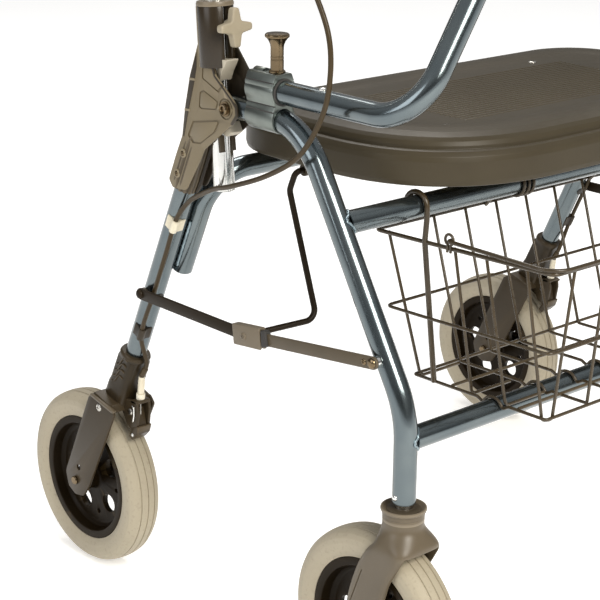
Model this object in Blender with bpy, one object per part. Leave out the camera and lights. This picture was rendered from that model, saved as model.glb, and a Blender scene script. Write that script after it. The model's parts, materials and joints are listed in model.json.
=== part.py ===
"""Folding four-wheeled walker: front frame, hinged rear frame, seat, basket, side braces and casters.

Metres, +Z up, floor at z = 0. The walker rolls towards -Y; its right side is at -X.
"""

import math

import bmesh
import bpy
from mathutils import Matrix, Vector

SIDES = {"right": -1, "left": 1}

# Driving dimensions
HALF_TRACK = 0.338
WHEEL_RADIUS = 0.100
TUBE_RADIUS = 0.0112
TUBE_WALL = 0.0018
GAP = 0.0004

# Places in the side view, as (y, z)
REAR_AXLE = (0.240, 0.100)
FRONT_AXLE = (-0.224, 0.100)
STEM_Y = -0.255
STEM_TOP_Z = 0.2395
PIVOT = (-0.015, 0.5685)
LEG_SHOULDER = (-0.1104, 0.5685)
LEG_KNEE = (STEM_Y, 0.327)
UPPER_TUBE = (-0.162, 0.484)
LOWER_TUBE = (STEM_Y, 0.3004)
REAR_LEG_TOP = (0.0366, 0.538)
REAR_LEG_SLOPE = -0.453
REAR_LEG_END_Z = 0.214
BACKREST_Z = 0.5937
BACKREST_CORNER_Y = -0.255
BACKREST_TOP_Z = 0.770
BRACE_FRONT = (-0.228, 0.372)
BRACE_KNEE = (-0.050, 0.350)
BRACE_REAR = (0.1225, 0.3495)
SEAT_ROD_TOP = (-0.035, 0.4995)
BRAKE_PIVOT = (0.157, 0.204)
POST_FOOT = (0.0045, 0.483)
POST_SLOPE = 0.0738
GRIP_START = (0.0335, 0.880)
GRIP_END = (0.200, 0.886)
LEVER_Y = 0.088
LEVER_PIVOT_Z = 0.8455

# Cross-section sizes
TUBE_SIDES = 10
BEND_STEP = math.radians(25)
TYRE_HALF_WIDTH = 0.0205
RIM_RADIUS = 0.0724
RIM_HALF_WIDTH = 0.0163
AXLE_RADIUS = 0.0040
SHELL_INNER = 0.0118
SHELL_OUTER = 0.0140
POST_RADIUS = 0.0105
SLEEVE_RADIUS = 0.0178
SLEEVE_BOTTOM_Z = 0.604
SLEEVE_TOP_Z = 0.662
BLOCK_REAR_Y = -0.043
BLOCK_FRONT_Y = -0.083
BLOCK_HALF_WIDTH = 0.0145
BLOCK_TOP_Z = 0.6108
PLUNGER_Y = -0.0735
BRACE_INNER = 0.0160
BRACE_THICKNESS = 0.0030
BRACE_HALF_HEIGHT = 0.0062
SEAT_HALF_WIDTH = 0.2805
SEAT_Y = (-0.2275, 0.095)
SEAT_Z = (0.5065, 0.5540)
SEAT_WALL = 0.0050
BASKET_HALF_WIDTH = 0.240
BASKET_WALL = 0.004
BASKET_Z = (0.3125, 0.455)
BASKET_FRONT_Y = -0.337
BASKET_REAR_Y = (-0.164, -0.104)
BAIL_EYE = (-0.2082, 0.4605)
CABLE_RADIUS = 0.0025

# Colours as (red, green, blue), metallic, roughness
FINISHES = {
    "blue_tube": ((0.22, 0.34, 0.42), 0.85, 0.28),
    "grey_aluminium": ((0.45, 0.50, 0.47), 0.9, 0.35),
    "bright_aluminium": ((0.80, 0.80, 0.78), 1.0, 0.25),
    "steel": ((0.60, 0.60, 0.58), 1.0, 0.3),
    "black_plastic": ((0.035, 0.030, 0.024), 0.0, 0.45),
    "hinge_plastic": ((0.10, 0.085, 0.065), 0.0, 0.5),
    "fork_plastic": ((0.16, 0.14, 0.115), 0.0, 0.45),
    "black_paint": ((0.03, 0.027, 0.022), 0.3, 0.35),
    "tyre_grey": ((0.58, 0.53, 0.44), 0.0, 0.7),
    "grip_rubber": ((0.03, 0.03, 0.03), 0.0, 0.8),
    "knob_grey": ((0.50, 0.46, 0.38), 0.0, 0.5),
    "cable_sheath": ((0.05, 0.04, 0.03), 0.0, 0.4),
}


def finish(name):
    """The material of this name, made on first use."""
    material = bpy.data.materials.get(name)
    if material is None:
        colour, metallic, roughness = FINISHES[name]
        material = bpy.data.materials.new(name)
        material.use_nodes = True
        shader = material.node_tree.nodes["Principled BSDF"]
        shader.inputs["Base Color"].default_value = (*colour, 1)
        shader.inputs["Metallic"].default_value = metallic
        shader.inputs["Roughness"].default_value = roughness
    return material


# Geometry helpers. Every piece is built in world space and gets its origin in place() at the end.


def add_mesh(name, points, faces):
    """A new object from points and faces, its faces turned outwards."""
    mesh = bpy.data.meshes.new(name)
    mesh.from_pydata([tuple(point) for point in points], [], faces)
    work = bmesh.new()
    work.from_mesh(mesh)
    bmesh.ops.recalc_face_normals(work, faces=work.faces)
    work.to_mesh(mesh)
    work.free()
    piece = bpy.data.objects.new(name, mesh)
    bpy.context.collection.objects.link(piece)
    return piece


def bent_path(corners, radii):
    """The corners' polyline with each inner corner rounded to its radius."""
    corners = [Vector(corner) for corner in corners]
    path = [corners[0]]
    for before, corner, after, radius in zip(corners, corners[1:], corners[2:], radii):
        inward = (before - corner).normalized()
        outward = (after - corner).normalized()
        turn = math.pi - inward.angle(outward)
        setback = radius * math.tan(turn / 2)
        start = corner + inward * setback
        middle = corner + (inward + outward).normalized() * (radius / math.cos(turn / 2))
        arm = start - middle
        axis = arm.cross(corner + outward * setback - middle).normalized()
        steps = max(2, round(turn / BEND_STEP))
        for step in range(steps + 1):
            path.append(middle + Matrix.Rotation(turn * step / steps, 3, axis) @ arm)
    path.append(corners[-1])
    return path


def path_frames(path):
    """A pair of axes square to the path at each of its points, carried along without twist."""
    frames = []
    side = None
    for index, point in enumerate(path):
        before = path[max(index - 1, 0)]
        after = path[min(index + 1, len(path) - 1)]
        along = (after - before).normalized()
        if side is None:
            helper = Vector((1, 0, 0)) if abs(along.x) < 0.9 else Vector((0, 0, 1))
            side = helper
        side = (side - along * side.dot(along)).normalized()
        frames.append((side, along.cross(side)))
    return frames


def tube(name, path, radius, inner=None, sides=TUBE_SIDES):
    """A round bar along the path, or a tube with open ends where an inner radius is given."""
    path = [Vector(point) for point in path]
    frames = path_frames(path)
    radii = [radius] if inner is None else [radius, inner]
    points = []
    faces = []
    rings = []
    for ring_radius in radii:
        layer = []
        for point, (side, up) in zip(path, frames):
            first = len(points)
            for corner in range(sides):
                angle = math.tau * corner / sides
                offset = side * math.cos(angle) + up * math.sin(angle)
                points.append(point + offset * ring_radius)
            layer.append(first)
        rings.append(layer)
    for layer in rings:
        for low, high in zip(layer, layer[1:]):
            for corner in range(sides):
                following = (corner + 1) % sides
                faces.append((low + corner, low + following, high + following, high + corner))
    if inner is None:
        faces.append(tuple(rings[0][0] + corner for corner in range(sides)))
        faces.append(tuple(rings[0][-1] + corner for corner in range(sides)))
    else:
        for end in (0, -1):
            outer_ring = rings[0][end]
            inner_ring = rings[1][end]
            for corner in range(sides):
                following = (corner + 1) % sides
                faces.append(
                    (outer_ring + corner, outer_ring + following, inner_ring + following, inner_ring + corner)
                )
    return add_mesh(name, points, faces)


def turned(name, profile, centre, axis, segments=24):
    """A ring or a solid of revolution: profile is a closed loop of (radius, distance along the axis)."""
    axis = Vector(axis).normalized()
    helper = Vector((0, 0, 1)) if abs(axis.z) < 0.9 else Vector((1, 0, 0))
    side = (helper - axis * helper.dot(axis)).normalized()
    up = axis.cross(side)
    centre = Vector(centre)
    points = []
    rings = []
    for radius, along in profile:
        if radius == 0:
            rings.append([len(points)])
            points.append(centre + axis * along)
            continue
        rings.append([len(points) + corner for corner in range(segments)])
        for corner in range(segments):
            angle = math.tau * corner / segments
            offset = side * math.cos(angle) + up * math.sin(angle)
            points.append(centre + axis * along + offset * radius)
    faces = []
    for ring, following_ring in zip(rings, rings[1:] + rings[:1]):
        for corner in range(segments):
            following = (corner + 1) % segments
            loop = [
                ring[corner % len(ring)],
                ring[following % len(ring)],
                following_ring[following % len(following_ring)],
                following_ring[corner % len(following_ring)],
            ]
            face = tuple(dict.fromkeys(loop))
            if len(face) > 2:
                faces.append(face)
    return add_mesh(name, points, faces)


def cylinder(name, centre, axis, radius, low, high, segments=16):
    """A solid cylinder along the axis from low to high."""
    return turned(name, [(0, low), (radius, low), (radius, high), (0, high)], centre, axis, segments)


def plate(name, outline, low, high, normal="X"):
    """A flat outline given thickness along X, Y or Z, from low to high."""
    place_point = {
        "X": lambda first, second, depth: (depth, first, second),
        "Y": lambda first, second, depth: (first, depth, second),
        "Z": lambda first, second, depth: (first, second, depth),
    }[normal]
    count = len(outline)
    points = [place_point(*corner, depth) for depth in (low, high) for corner in outline]
    faces = [tuple(range(count)), tuple(range(count, 2 * count))]
    for corner in range(count):
        following = (corner + 1) % count
        faces.append((corner, following, count + following, count + corner))
    return add_mesh(name, points, faces)


def box(name, low, high):
    """A box between two opposite corners."""
    outline = [(low[1], low[2]), (high[1], low[2]), (high[1], high[2]), (low[1], high[2])]
    return plate(name, outline, low[0], high[0])


def combine(target, tools, operation):
    """Cut the tools from the target, or join them to it, and remove them."""
    for tool in tools:
        modifier = target.modifiers.new(operation, "BOOLEAN")
        modifier.operation = operation
        modifier.solver = "EXACT"
        modifier.object = tool
    depsgraph = bpy.context.evaluated_depsgraph_get()
    mesh = bpy.data.meshes.new_from_object(target.evaluated_get(depsgraph))
    target.modifiers.clear()
    target.data = mesh
    for tool in tools:
        bpy.data.objects.remove(tool)
    return target


def cut(target, *tools):
    return combine(target, tools, "DIFFERENCE")


def join(target, *tools):
    return combine(target, tools, "UNION")


def place(piece, material, origin, smooth_degrees=40):
    """Give the piece its material and shading, and move its origin to a world point."""
    piece.data.materials.clear()
    piece.data.materials.append(finish(material))
    piece.data.shade_smooth()
    piece.data.set_sharp_from_angle(angle=math.radians(smooth_degrees))
    piece.data.transform(Matrix.Translation(-Vector(origin)))
    piece.location = origin
    return piece


def on_side(side, outboard, y_z):
    """A world point: outboard is measured from the leg's plane, away from the middle."""
    return Vector((side * (HALF_TRACK + outboard), *y_z))


def span(side, inner, outer):
    """The lowest and highest X between two outboard distances."""
    ends = (side * (HALF_TRACK + inner), side * (HALF_TRACK + outer))
    return min(ends), max(ends)


def rear_leg_y(height):
    return REAR_LEG_TOP[0] + (height - REAR_LEG_TOP[1]) * REAR_LEG_SLOPE


def post_y(height):
    return POST_FOOT[0] + (height - POST_FOOT[1]) * POST_SLOPE


def arc(centre, radius, start_degrees, end_degrees, steps):
    """Points on an arc in a flat outline."""
    points = []
    for step in range(steps + 1):
        angle = math.radians(start_degrees + (end_degrees - start_degrees) * step / steps)
        points.append((centre[0] + radius * math.cos(angle), centre[1] + radius * math.sin(angle)))
    return points


def strap_outline(start, end, half_width, steps=4):
    """A flat bar with round ends between two points."""
    heading = math.degrees(math.atan2(end[1] - start[1], end[0] - start[0]))
    return arc(end, half_width, heading - 90, heading + 90, steps) + arc(
        start, half_width, heading + 90, heading + 270, steps
    )


# Front frame


def front_leg_path(side):
    corners = [(PIVOT[0] + 0.0095, PIVOT[1]), LEG_SHOULDER, LEG_KNEE, (STEM_Y, STEM_TOP_Z)]
    return bent_path([on_side(side, 0, corner) for corner in corners], [0.080, 0.100])


def front_leg(name, side):
    leg = tube(f"front_leg_{name}", front_leg_path(side), TUBE_RADIUS, TUBE_RADIUS - TUBE_WALL)
    cut(leg, cylinder("bolt_hole", on_side(side, 0, PIVOT), (1, 0, 0), 0.0046, -0.02, 0.02, 12))
    place(leg, "blue_tube", on_side(side, 0, (STEM_Y, STEM_TOP_Z)))


def cross_tube(name, y_z):
    reach = HALF_TRACK - 0.004
    bar = tube(name, [(-reach, *y_z), (reach, *y_z)], TUBE_RADIUS, TUBE_RADIUS - TUBE_WALL)
    slope = (LEG_SHOULDER[0] - LEG_KNEE[0]) / (LEG_SHOULDER[1] - LEG_KNEE[1])
    lean = slope if y_z[1] > LEG_KNEE[1] + 0.03 else 0
    for side in SIDES.values():
        ends = [on_side(side, 0, (y_z[0] + lean * rise, y_z[1] + rise)) for rise in (-0.03, 0.03)]
        cut(bar, tube("leg_cutter", ends, TUBE_RADIUS + 2 * GAP, sides=24))
    place(bar, "blue_tube", (0, *y_z))


def hinge_block(name, side):
    """Extruded clamp that holds the backrest tube above the leg tube."""
    width = BLOCK_HALF_WIDTH
    upper = BACKREST_Z
    lower = PIVOT[1]
    outline = arc((0, lower), width, 180, 360, 8)
    outline += arc((0, upper), width, 0, 45, 3)
    outline += [(0.0095, BLOCK_TOP_Z), (-0.0095, BLOCK_TOP_Z)]
    outline += arc((0, upper), width, 135, 180, 3)
    outline = [(side * HALF_TRACK + across, height) for across, height in outline]
    block = plate(f"hinge_block_{name}", outline, BLOCK_FRONT_Y, BLOCK_REAR_Y, "Y")
    cut(block, cylinder("bore", on_side(side, 0, (0, upper)), (0, 1, 0), TUBE_RADIUS + GAP, -0.1, 0, 24))
    cut(block, tube("leg_room", front_leg_path(side), TUBE_RADIUS + GAP))
    top = on_side(side, 0, (PLUNGER_Y, BLOCK_TOP_Z))
    cut(block, cylinder("plunger_hole", top, (0, 0, 1), 0.0048, -0.010, 0.01, 12))
    place(block, "grey_aluminium", on_side(side, 0, PIVOT))


def plunger(name, side):
    """Spring plunger that locks the backrest; its pin drops into the block."""
    profile = [(0, -0.0040), (0.0043, -0.0040), (0.0043, 0.0004), (0.0078, 0.0004), (0.0078, 0.0022)]
    profile += [(0.0062, 0.0030), (0.0062, 0.0250), (0.0115, 0.0330), (0.0118, 0.0352), (0, 0.0375)]
    base = on_side(side, 0, (PLUNGER_Y, BLOCK_TOP_Z))
    place(turned(f"plunger_{name}", profile, base, (0, 0, 1), 16), "steel", base)


def pivot_bolt(name, side):
    """Shoulder bolt through both hinge shells and the leg's end."""
    reach = SHELL_OUTER + 0.0004
    profile = [(0, -reach - 0.0045), (0.0062, -reach - 0.0045), (0.0075, -reach), (0.0042, -reach)]
    profile += [(0.0042, reach), (0.0075, reach), (0.0062, reach + 0.0045), (0, reach + 0.0045)]
    centre = on_side(side, 0, PIVOT)
    place(turned(f"pivot_bolt_{name}", profile, centre, (1, 0, 0), 12), "steel", centre)


def backrest():
    """One tube: out of both blocks, forwards, up, and across behind the sitter's back."""
    rise = BACKREST_TOP_Z - BACKREST_Z
    lean = rise * 0.647
    half = [
        on_side(-1, 0, (BLOCK_REAR_Y - 0.003, BACKREST_Z)),
        on_side(-1, 0, (BACKREST_CORNER_Y, BACKREST_Z)),
        on_side(-1, -lean, (BACKREST_CORNER_Y, BACKREST_TOP_Z)),
    ]
    mirrored = [Vector((-point.x, point.y, point.z)) for point in reversed(half)]
    path = bent_path(half + mirrored, [0.050, 0.060, 0.060, 0.050])
    hoop = tube("backrest", path, TUBE_RADIUS, TUBE_RADIUS - TUBE_WALL)
    place(hoop, "blue_tube", (0, BLOCK_FRONT_Y, BACKREST_Z))


# Seat, basket and bail


def seat_outline(inset):
    """The seat in plan: a full, bowed front and round rear corners, drawn in by the inset."""
    half = SEAT_HALF_WIDTH - inset
    front, rear = SEAT_Y[0] + inset, SEAT_Y[1] - inset
    across, along = 0.180 - inset, 0.170 - inset
    outline = []
    for step in range(8):
        angle = math.radians(90 * step / 7)
        reach = abs(math.sin(angle)) ** 0.8
        drop = max(0.0, math.cos(angle)) ** 0.8
        outline.append((half - across + across * reach, front + along - along * drop))
    outline += arc((half - 0.085 + inset, rear - 0.085 + inset), 0.085 - inset, 0, 90, 6)
    return outline + [(-x, y) for x, y in reversed(outline)]


def seat():
    """Moulded seat: a shell with a skirt all round, open underneath."""
    bottom, top = SEAT_Z
    levels = [(0.034, top - SEAT_WALL), (0.022, top - 0.012), (0.007, bottom), (0.003, bottom)]
    levels += [(0.0, bottom + 0.006), (0.001, 0.5385), (0.008, 0.5405)]
    levels += [(0.012, 0.5475), (0.026, 0.5525), (0.050, top)]
    rings = []
    points = []
    for inset, height in levels:
        ring = seat_outline(inset)
        rings.append(range(len(points), len(points) + len(ring)))
        points += [(x, y, height) for x, y in ring]
    faces = [tuple(rings[0]), tuple(rings[-1])]
    for low, high in zip(rings, rings[1:]):
        count = len(low)
        for corner in range(count):
            following = (corner + 1) % count
            faces.append((low[corner], low[following], high[following], high[corner]))
    place(add_mesh("seat", points, faces), "black_plastic", (0, *UPPER_TUBE))


def basket():
    """The wire basket's true outer shape as thin walls, open on top, with four hooks over the tube."""
    low, high = BASKET_Z
    half = BASKET_HALF_WIDTH
    wall = BASKET_WALL
    side_view = [(BASKET_FRONT_Y, low), (BASKET_REAR_Y[0], low)]
    side_view += [(BASKET_REAR_Y[1], high), (BASKET_FRONT_Y, high)]
    body = plate("basket", side_view, -half, half)
    room = [
        (BASKET_FRONT_Y + wall, low + wall),
        (BASKET_REAR_Y[0] - wall, low + wall),
        (BASKET_REAR_Y[1] - wall, high + wall),
        (BASKET_FRONT_Y + wall, high + wall),
    ]
    cut(body, plate("room", room, wall - half, half - wall))
    hooks = []
    for side in SIDES.values():
        hook = arc(UPPER_TUBE, TUBE_RADIUS + 0.0045, 200, 0, 8)
        hook += arc(UPPER_TUBE, TUBE_RADIUS + 0.0006, 0, 180, 6)
        hook += [(UPPER_TUBE[0] - 0.0125, high - wall), (UPPER_TUBE[0] - 0.0170, high - wall)]
        ends = sorted((side * (half - 0.0002), side * (half - wall + 0.0002)))
        hooks.append(plate("hook", hook, *ends))
    join(body, *hooks)
    place(body, "black_paint", (0, *UPPER_TUBE))


def basket_bail():
    """Wire handle that pivots at the middle of the side rims and lies on the front rim."""
    wide = BASKET_HALF_WIDTH + 0.0026
    front = BASKET_FRONT_Y - 0.0030
    y, z = BAIL_EYE
    corners = [(-wide, y, z), (-wide, front, z), (wide, front, z), (wide, y, z)]
    place(tube("basket_bail", bent_path(corners, [0.02, 0.02]), 0.0020, sides=8), "black_paint", (0, y, z))


# Casters


def caster_fork(name, side):
    """Moulded fork: a stem up into the leg, a bell-shaped crown and two swept blades."""
    stem = on_side(side, 0, (STEM_Y, 0))
    profile = [(0, 0.2060), (0.0200, 0.2060), (0.0225, 0.2120), (0.0190, 0.2180), (0.0180, 0.2235)]
    profile += [(0.0200, 0.2255), (0.0200, 0.2350), (TUBE_RADIUS + 0.0035, 0.2355), (0.0088, 0.2355)]
    profile += [(0.0088, 0.2750), (0, 0.2750)]
    fork = turned(f"caster_fork_{name}", profile, stem, (0, 0, 1), 16)
    outline = [(STEM_Y - 0.020, 0.2200), (STEM_Y - 0.026, 0.2050), (STEM_Y - 0.012, 0.1750)]
    outline += arc(FRONT_AXLE, 0.0150, 200, 360, 6)
    outline += [(STEM_Y + 0.046, 0.1350), (STEM_Y + 0.034, 0.1900), (STEM_Y + 0.022, 0.2200)]
    blades = []
    for inner, outer in ((0.0235, 0.0290), (-0.0290, -0.0235)):
        blades.append(plate("blade", outline, *span(side, inner, outer)))
    crown = [(STEM_Y - 0.020, 0.2205), (STEM_Y - 0.026, 0.2065)]
    crown += [(STEM_Y + 0.030, 0.2065), (STEM_Y + 0.021, 0.2205)]
    blades.append(plate("crown", crown, *span(side, -0.0285, 0.0285)))
    join(fork, *blades)
    for hand in (-1, 1):
        hole = on_side(side, hand * 0.026, FRONT_AXLE)
        cut(fork, cylinder("axle_hole", hole, (1, 0, 0), AXLE_RADIUS + GAP, -0.006, 0.006, 12))
    leg_end = tube(
        "leg_clearance",
        [on_side(side, 0, (STEM_Y, STEM_TOP_Z - GAP)), on_side(side, 0, (STEM_Y, 0.30))],
        TUBE_RADIUS + 0.01,
        TUBE_RADIUS - TUBE_WALL - GAP,
        sides=24,
    )
    cut(fork, leg_end)
    place(fork, "fork_plastic", on_side(side, 0, (STEM_Y, STEM_TOP_Z)))


def wheel(name, side, axle, kind, post_reach):
    """Grey tyre, five-hole hub and axle bolt."""
    centre = on_side(side, 0, axle)
    half = TYRE_HALF_WIDTH
    section = [(RIM_RADIUS, -half + 0.004), (WHEEL_RADIUS - 0.0120, -half)]
    section += [(WHEEL_RADIUS - 0.0030, -half * 0.62), (WHEEL_RADIUS, -half * 0.25)]
    section += [(radius, -along) for radius, along in reversed(section)]
    place(turned(f"{kind}_tyre_{name}", section, centre, (1, 0, 0), 32), "tyre_grey", centre)
    rim = RIM_RADIUS - 0.0008
    lip = RIM_HALF_WIDTH
    profile = [(AXLE_RADIUS + GAP, -0.0185), (0.0140, -0.0185), (0.0150, -0.0070)]
    profile += [(0.0600, -0.0070), (0.0655, -lip), (rim, -lip)]
    profile += [(radius, -along) for radius, along in reversed(profile)]
    hub = turned(f"{kind}_hub_{name}", profile, centre, (1, 0, 0), 18)
    holes = []
    for index in range(5):
        angle = math.tau * (index + 0.3) / 5
        spot = (axle[0] + 0.038 * math.cos(angle), axle[1] + 0.038 * math.sin(angle))
        holes.append(cylinder("hub_hole", on_side(side, 0, spot), (1, 0, 0), 0.0105, -0.02, 0.02, 6))
    cut(hub, *holes)
    place(hub, "black_plastic", centre)
    head = post_reach + 0.0003
    bolt = [(0, -head - 0.0040), (0.0070, -head - 0.0040), (0.0070, -head), (AXLE_RADIUS, -head)]
    bolt += [(AXLE_RADIUS, head), (0.0070, head), (0.0070, head + 0.0040), (0, head + 0.0040)]
    place(turned(f"{kind}_axle_{name}", bolt, centre, (1, 0, 0), 12), "steel", centre)


# Rear frame


def rear_leg(name, side):
    ends = [
        on_side(side, 0, REAR_LEG_TOP),
        on_side(side, 0, (rear_leg_y(REAR_LEG_END_Z), REAR_LEG_END_Z)),
    ]
    leg = tube(f"rear_leg_{name}", ends, TUBE_RADIUS, TUBE_RADIUS - TUBE_WALL)
    place(leg, "blue_tube", on_side(side, 0, PIVOT))


def rear_cross_tube():
    """U-shaped tube that runs up inside both rear legs and across under the seat's rear edge."""
    inset = -0.0235
    foot = (rear_leg_y(0.374) - 0.0060, 0.374)
    corner = (rear_leg_y(0.487) - 0.0060, 0.487)
    corners = [on_side(-1, inset, spot) for spot in (foot, corner)]
    corners += [on_side(1, inset, spot) for spot in (corner, foot)]
    bar = tube("rear_cross_tube", bent_path(corners, [0.045, 0.045]), TUBE_RADIUS, TUBE_RADIUS - TUBE_WALL)
    place(bar, "blue_tube", (0, *PIVOT))


SHELL_OUTLINE = [
    (0.0285, 0.6400),
    (0.0290, 0.6210),
    (0.0400, 0.5930),
    (0.0486, 0.5590),
    (0.0532, 0.5310),
    (0.0640, 0.5093),
    (0.0760, 0.4823),
    (0.0700, 0.4745),
    (0.0490, 0.4752),
    (0.0257, 0.5109),
    (0.0193, 0.5222),
    (0.0020, 0.5353),
    (-0.0239, 0.5546),
    (-0.0320, 0.5640),
    (-0.0310, 0.5730),
    (-0.0241, 0.5800),
    (0.0014, 0.5988),
    (0.0150, 0.6230),
    (0.0160, 0.6400),
]


def hinge_shell(name, side, hand):
    """Half of the hinge: a fan-shaped plate with half of the handle sleeve; hand is 1 on the outer half."""
    label = "outer" if hand > 0 else "inner"
    low, high = span(side, hand * SHELL_INNER, hand * SHELL_OUTER)
    shell = plate(f"hinge_shell_{label}_{name}", SHELL_OUTLINE, low, high)
    ends = [on_side(side, 0, (post_y(height), height)) for height in (SLEEVE_BOTTOM_Z, SLEEVE_TOP_Z)]
    sleeve = tube("sleeve", ends, SLEEVE_RADIUS, POST_RADIUS + GAP, sides=20)
    near, far = span(side, hand * -0.03, hand * 0.0004)
    cut(sleeve, box("other_half", (near, -0.05, 0.55), (far, 0.08, 0.70)))
    post_room = [on_side(side, 0, (post_y(height), height)) for height in (0.45, 0.70)]
    join(shell, sleeve)
    cut(shell, tube("post_room", post_room, POST_RADIUS + GAP, sides=20))
    cut(shell, cylinder("bolt_hole", on_side(side, 0, PIVOT), (1, 0, 0), 0.0046, -0.03, 0.03, 12))
    place(shell, "hinge_plastic", on_side(side, 0, PIVOT))


def leg_bracket(name, side):
    """Socket on the rear leg's end with two straps down to the axle and the brake's clevis."""
    leg_angle = math.atan(-REAR_LEG_SLOPE)
    along = Vector((0, math.sin(leg_angle), -math.cos(leg_angle)))
    mouth = on_side(side, 0, (rear_leg_y(0.272), 0.272))
    end = mouth + along * 0.072
    bracket = tube(f"leg_bracket_{name}", [mouth, end], TUBE_RADIUS + 0.0038, sides=16)
    strap = [(0.1700, 0.2110), (0.1985, 0.2200), (0.2100, 0.2105), (0.2585, 0.1080)]
    strap += arc(REAR_AXLE, 0.0170, 15, -140, 6)
    strap += [(0.2140, 0.1020), (0.1660, 0.2000)]
    parts = []
    for inner, outer in ((0.0250, 0.0280), (-0.0280, -0.0250)):
        parts.append(plate("strap", strap, *span(side, inner, outer)))
    bridge = [(0.1670, 0.2010), (0.1900, 0.2075), (0.2050, 0.2130), (0.1985, 0.2195), (0.1705, 0.2108)]
    parts.append(plate("bridge", bridge, *span(side, -0.0275, 0.0275)))
    for inner, outer in ((0.0062, 0.0090), (-0.0090, -0.0062)):
        cheek = [(0.1740, 0.2230), (0.1480, 0.2280), (0.1440, 0.2160)]
        cheek += [(0.1500, 0.1960), (0.1640, 0.1960), (0.1720, 0.2060)]
        parts.append(plate("cheek", cheek, *span(side, inner, outer)))
    join(bracket, *parts)
    room_end = on_side(side, 0, (rear_leg_y(0.2135), 0.2135))
    socket = tube("socket", [mouth - along * 0.01, room_end], TUBE_RADIUS + GAP)
    cut(bracket, socket)
    for hand in (-1, 1):
        hole = on_side(side, hand * 0.0265, REAR_AXLE)
        cut(bracket, cylinder("axle_hole", hole, (1, 0, 0), AXLE_RADIUS + GAP, -0.006, 0.006, 12))
    place(bracket, "black_paint", on_side(side, 0, REAR_AXLE))


def brake_arm(name, side):
    """Lever between the bracket's cheeks that presses its shoe on the tyre."""
    outline = strap_outline(BRAKE_PIVOT, (0.1495, 0.1790), 0.0050)
    arm = plate("brake_arm", outline, *span(side, -0.0055, 0.0055))
    arm.name = f"brake_arm_{name}"
    shoe = [(0.1435, 0.1800), (0.1530, 0.1760), (0.1600, 0.1640), (0.1545, 0.1610)]
    join(arm, plate("shoe", shoe, *span(side, -0.0120, 0.0120)))
    place(arm, "steel", on_side(side, 0, BRAKE_PIVOT))


def grip_z(y):
    slope = (GRIP_END[1] - GRIP_START[1]) / (GRIP_END[0] - GRIP_START[0])
    return GRIP_START[1] + slope * (y - GRIP_START[0])


def handle_post(name, side):
    corners = [on_side(side, 0, spot) for spot in (POST_FOOT, GRIP_START, GRIP_END)]
    post = tube(f"handle_post_{name}", bent_path(corners, [0.040]), POST_RADIUS, POST_RADIUS - TUBE_WALL)
    place(post, "bright_aluminium", on_side(side, 0, POST_FOOT))


def handle_grip(name, side):
    """Soft grip over the post's rearward end."""
    start = on_side(side, 0, (0.1080, grip_z(0.1080)))
    axis = on_side(side, 0, GRIP_END) - start
    length = axis.length
    inner = POST_RADIUS + GAP
    profile = [(inner, 0), (0.0185, 0), (0.0175, 0.008), (0.0150, 0.022), (0.0172, 0.048)]
    profile += [(0.0160, length - 0.004), (0.0185, length + 0.002), (0.0150, length + 0.010)]
    profile += [(0, length + 0.011), (0, length + 0.001), (inner, length + 0.001)]
    grip = turned(f"handle_grip_{name}", profile, start, axis, 16)
    place(grip, "grip_rubber", start)


def lever_housing(name, side):
    """Clamp round the post with the ears that carry the brake lever."""
    ends = [on_side(side, 0, (LEVER_Y + offset, grip_z(LEVER_Y + offset))) for offset in (-0.008, 0.012)]
    clamp = tube(f"lever_housing_{name}", ends, POST_RADIUS + 0.0050, POST_RADIUS + GAP, sides=16)
    high = grip_z(LEVER_Y) - 0.0130
    low = high - 0.0300
    ear = [(LEVER_Y - 0.007, high), (LEVER_Y - 0.006, low), (LEVER_Y + 0.006, low), (LEVER_Y + 0.011, high)]
    join(clamp, *(plate("ear", ear, *span(side, inner, inner + 0.0025)) for inner in (0.0060, -0.0085)))
    place(clamp, "black_plastic", on_side(side, 0, (LEVER_Y, grip_z(LEVER_Y))))


def brake_lever(name, side):
    """Squeeze lever under the grip with a tail that pulls the cable."""
    pivot = (LEVER_Y, LEVER_PIVOT_Z)
    outline = [(-0.0090, -0.0040), (-0.0090, 0.0050), (0.0060, 0.0050), (0.0300, 0.0010), (0.0800, -0.0070)]
    outline += [(0.1050, -0.0160), (0.1020, -0.0220), (0.0760, -0.0150), (0.0280, -0.0070), (0.0060, -0.0060)]
    outline = [(pivot[0] + along, pivot[1] + rise) for along, rise in outline]
    lever = plate(f"brake_lever_{name}", outline, *span(side, -0.0055, 0.0055))
    place(lever, "black_plastic", on_side(side, 0, pivot))


def star_knob(name, side):
    """Four-armed knob on the front of the sleeve that clamps the handle post."""
    height = 0.6425
    centre = on_side(side, 0, (post_y(height), height))
    axis = Vector((0, -1, POST_SLOPE)).normalized()
    profile = [(0, 0.0182), (0.0070, 0.0182), (0.0070, 0.0235), (0, 0.0235)]
    knob = turned(f"star_knob_{name}", profile, centre, axis, 12)
    outline = []
    for arm in range(4):
        heading = 90 * arm
        outline += [
            (0.0205 * math.cos(math.radians(heading + turn)), 0.0205 * math.sin(math.radians(heading + turn)))
            for turn in (-13, 13)
        ]
        waist = math.radians(heading + 45)
        outline.append((0.0085 * math.cos(waist), 0.0085 * math.sin(waist)))
    star = plate("star", outline, 0.0233, 0.0330, "Z")
    star.data.transform(axis.to_track_quat("Z", "Y").to_matrix().to_4x4())
    star.data.transform(Matrix.Translation(centre))
    join(knob, star)
    place(knob, "knob_grey", centre)


# Side braces and seat rods


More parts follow.
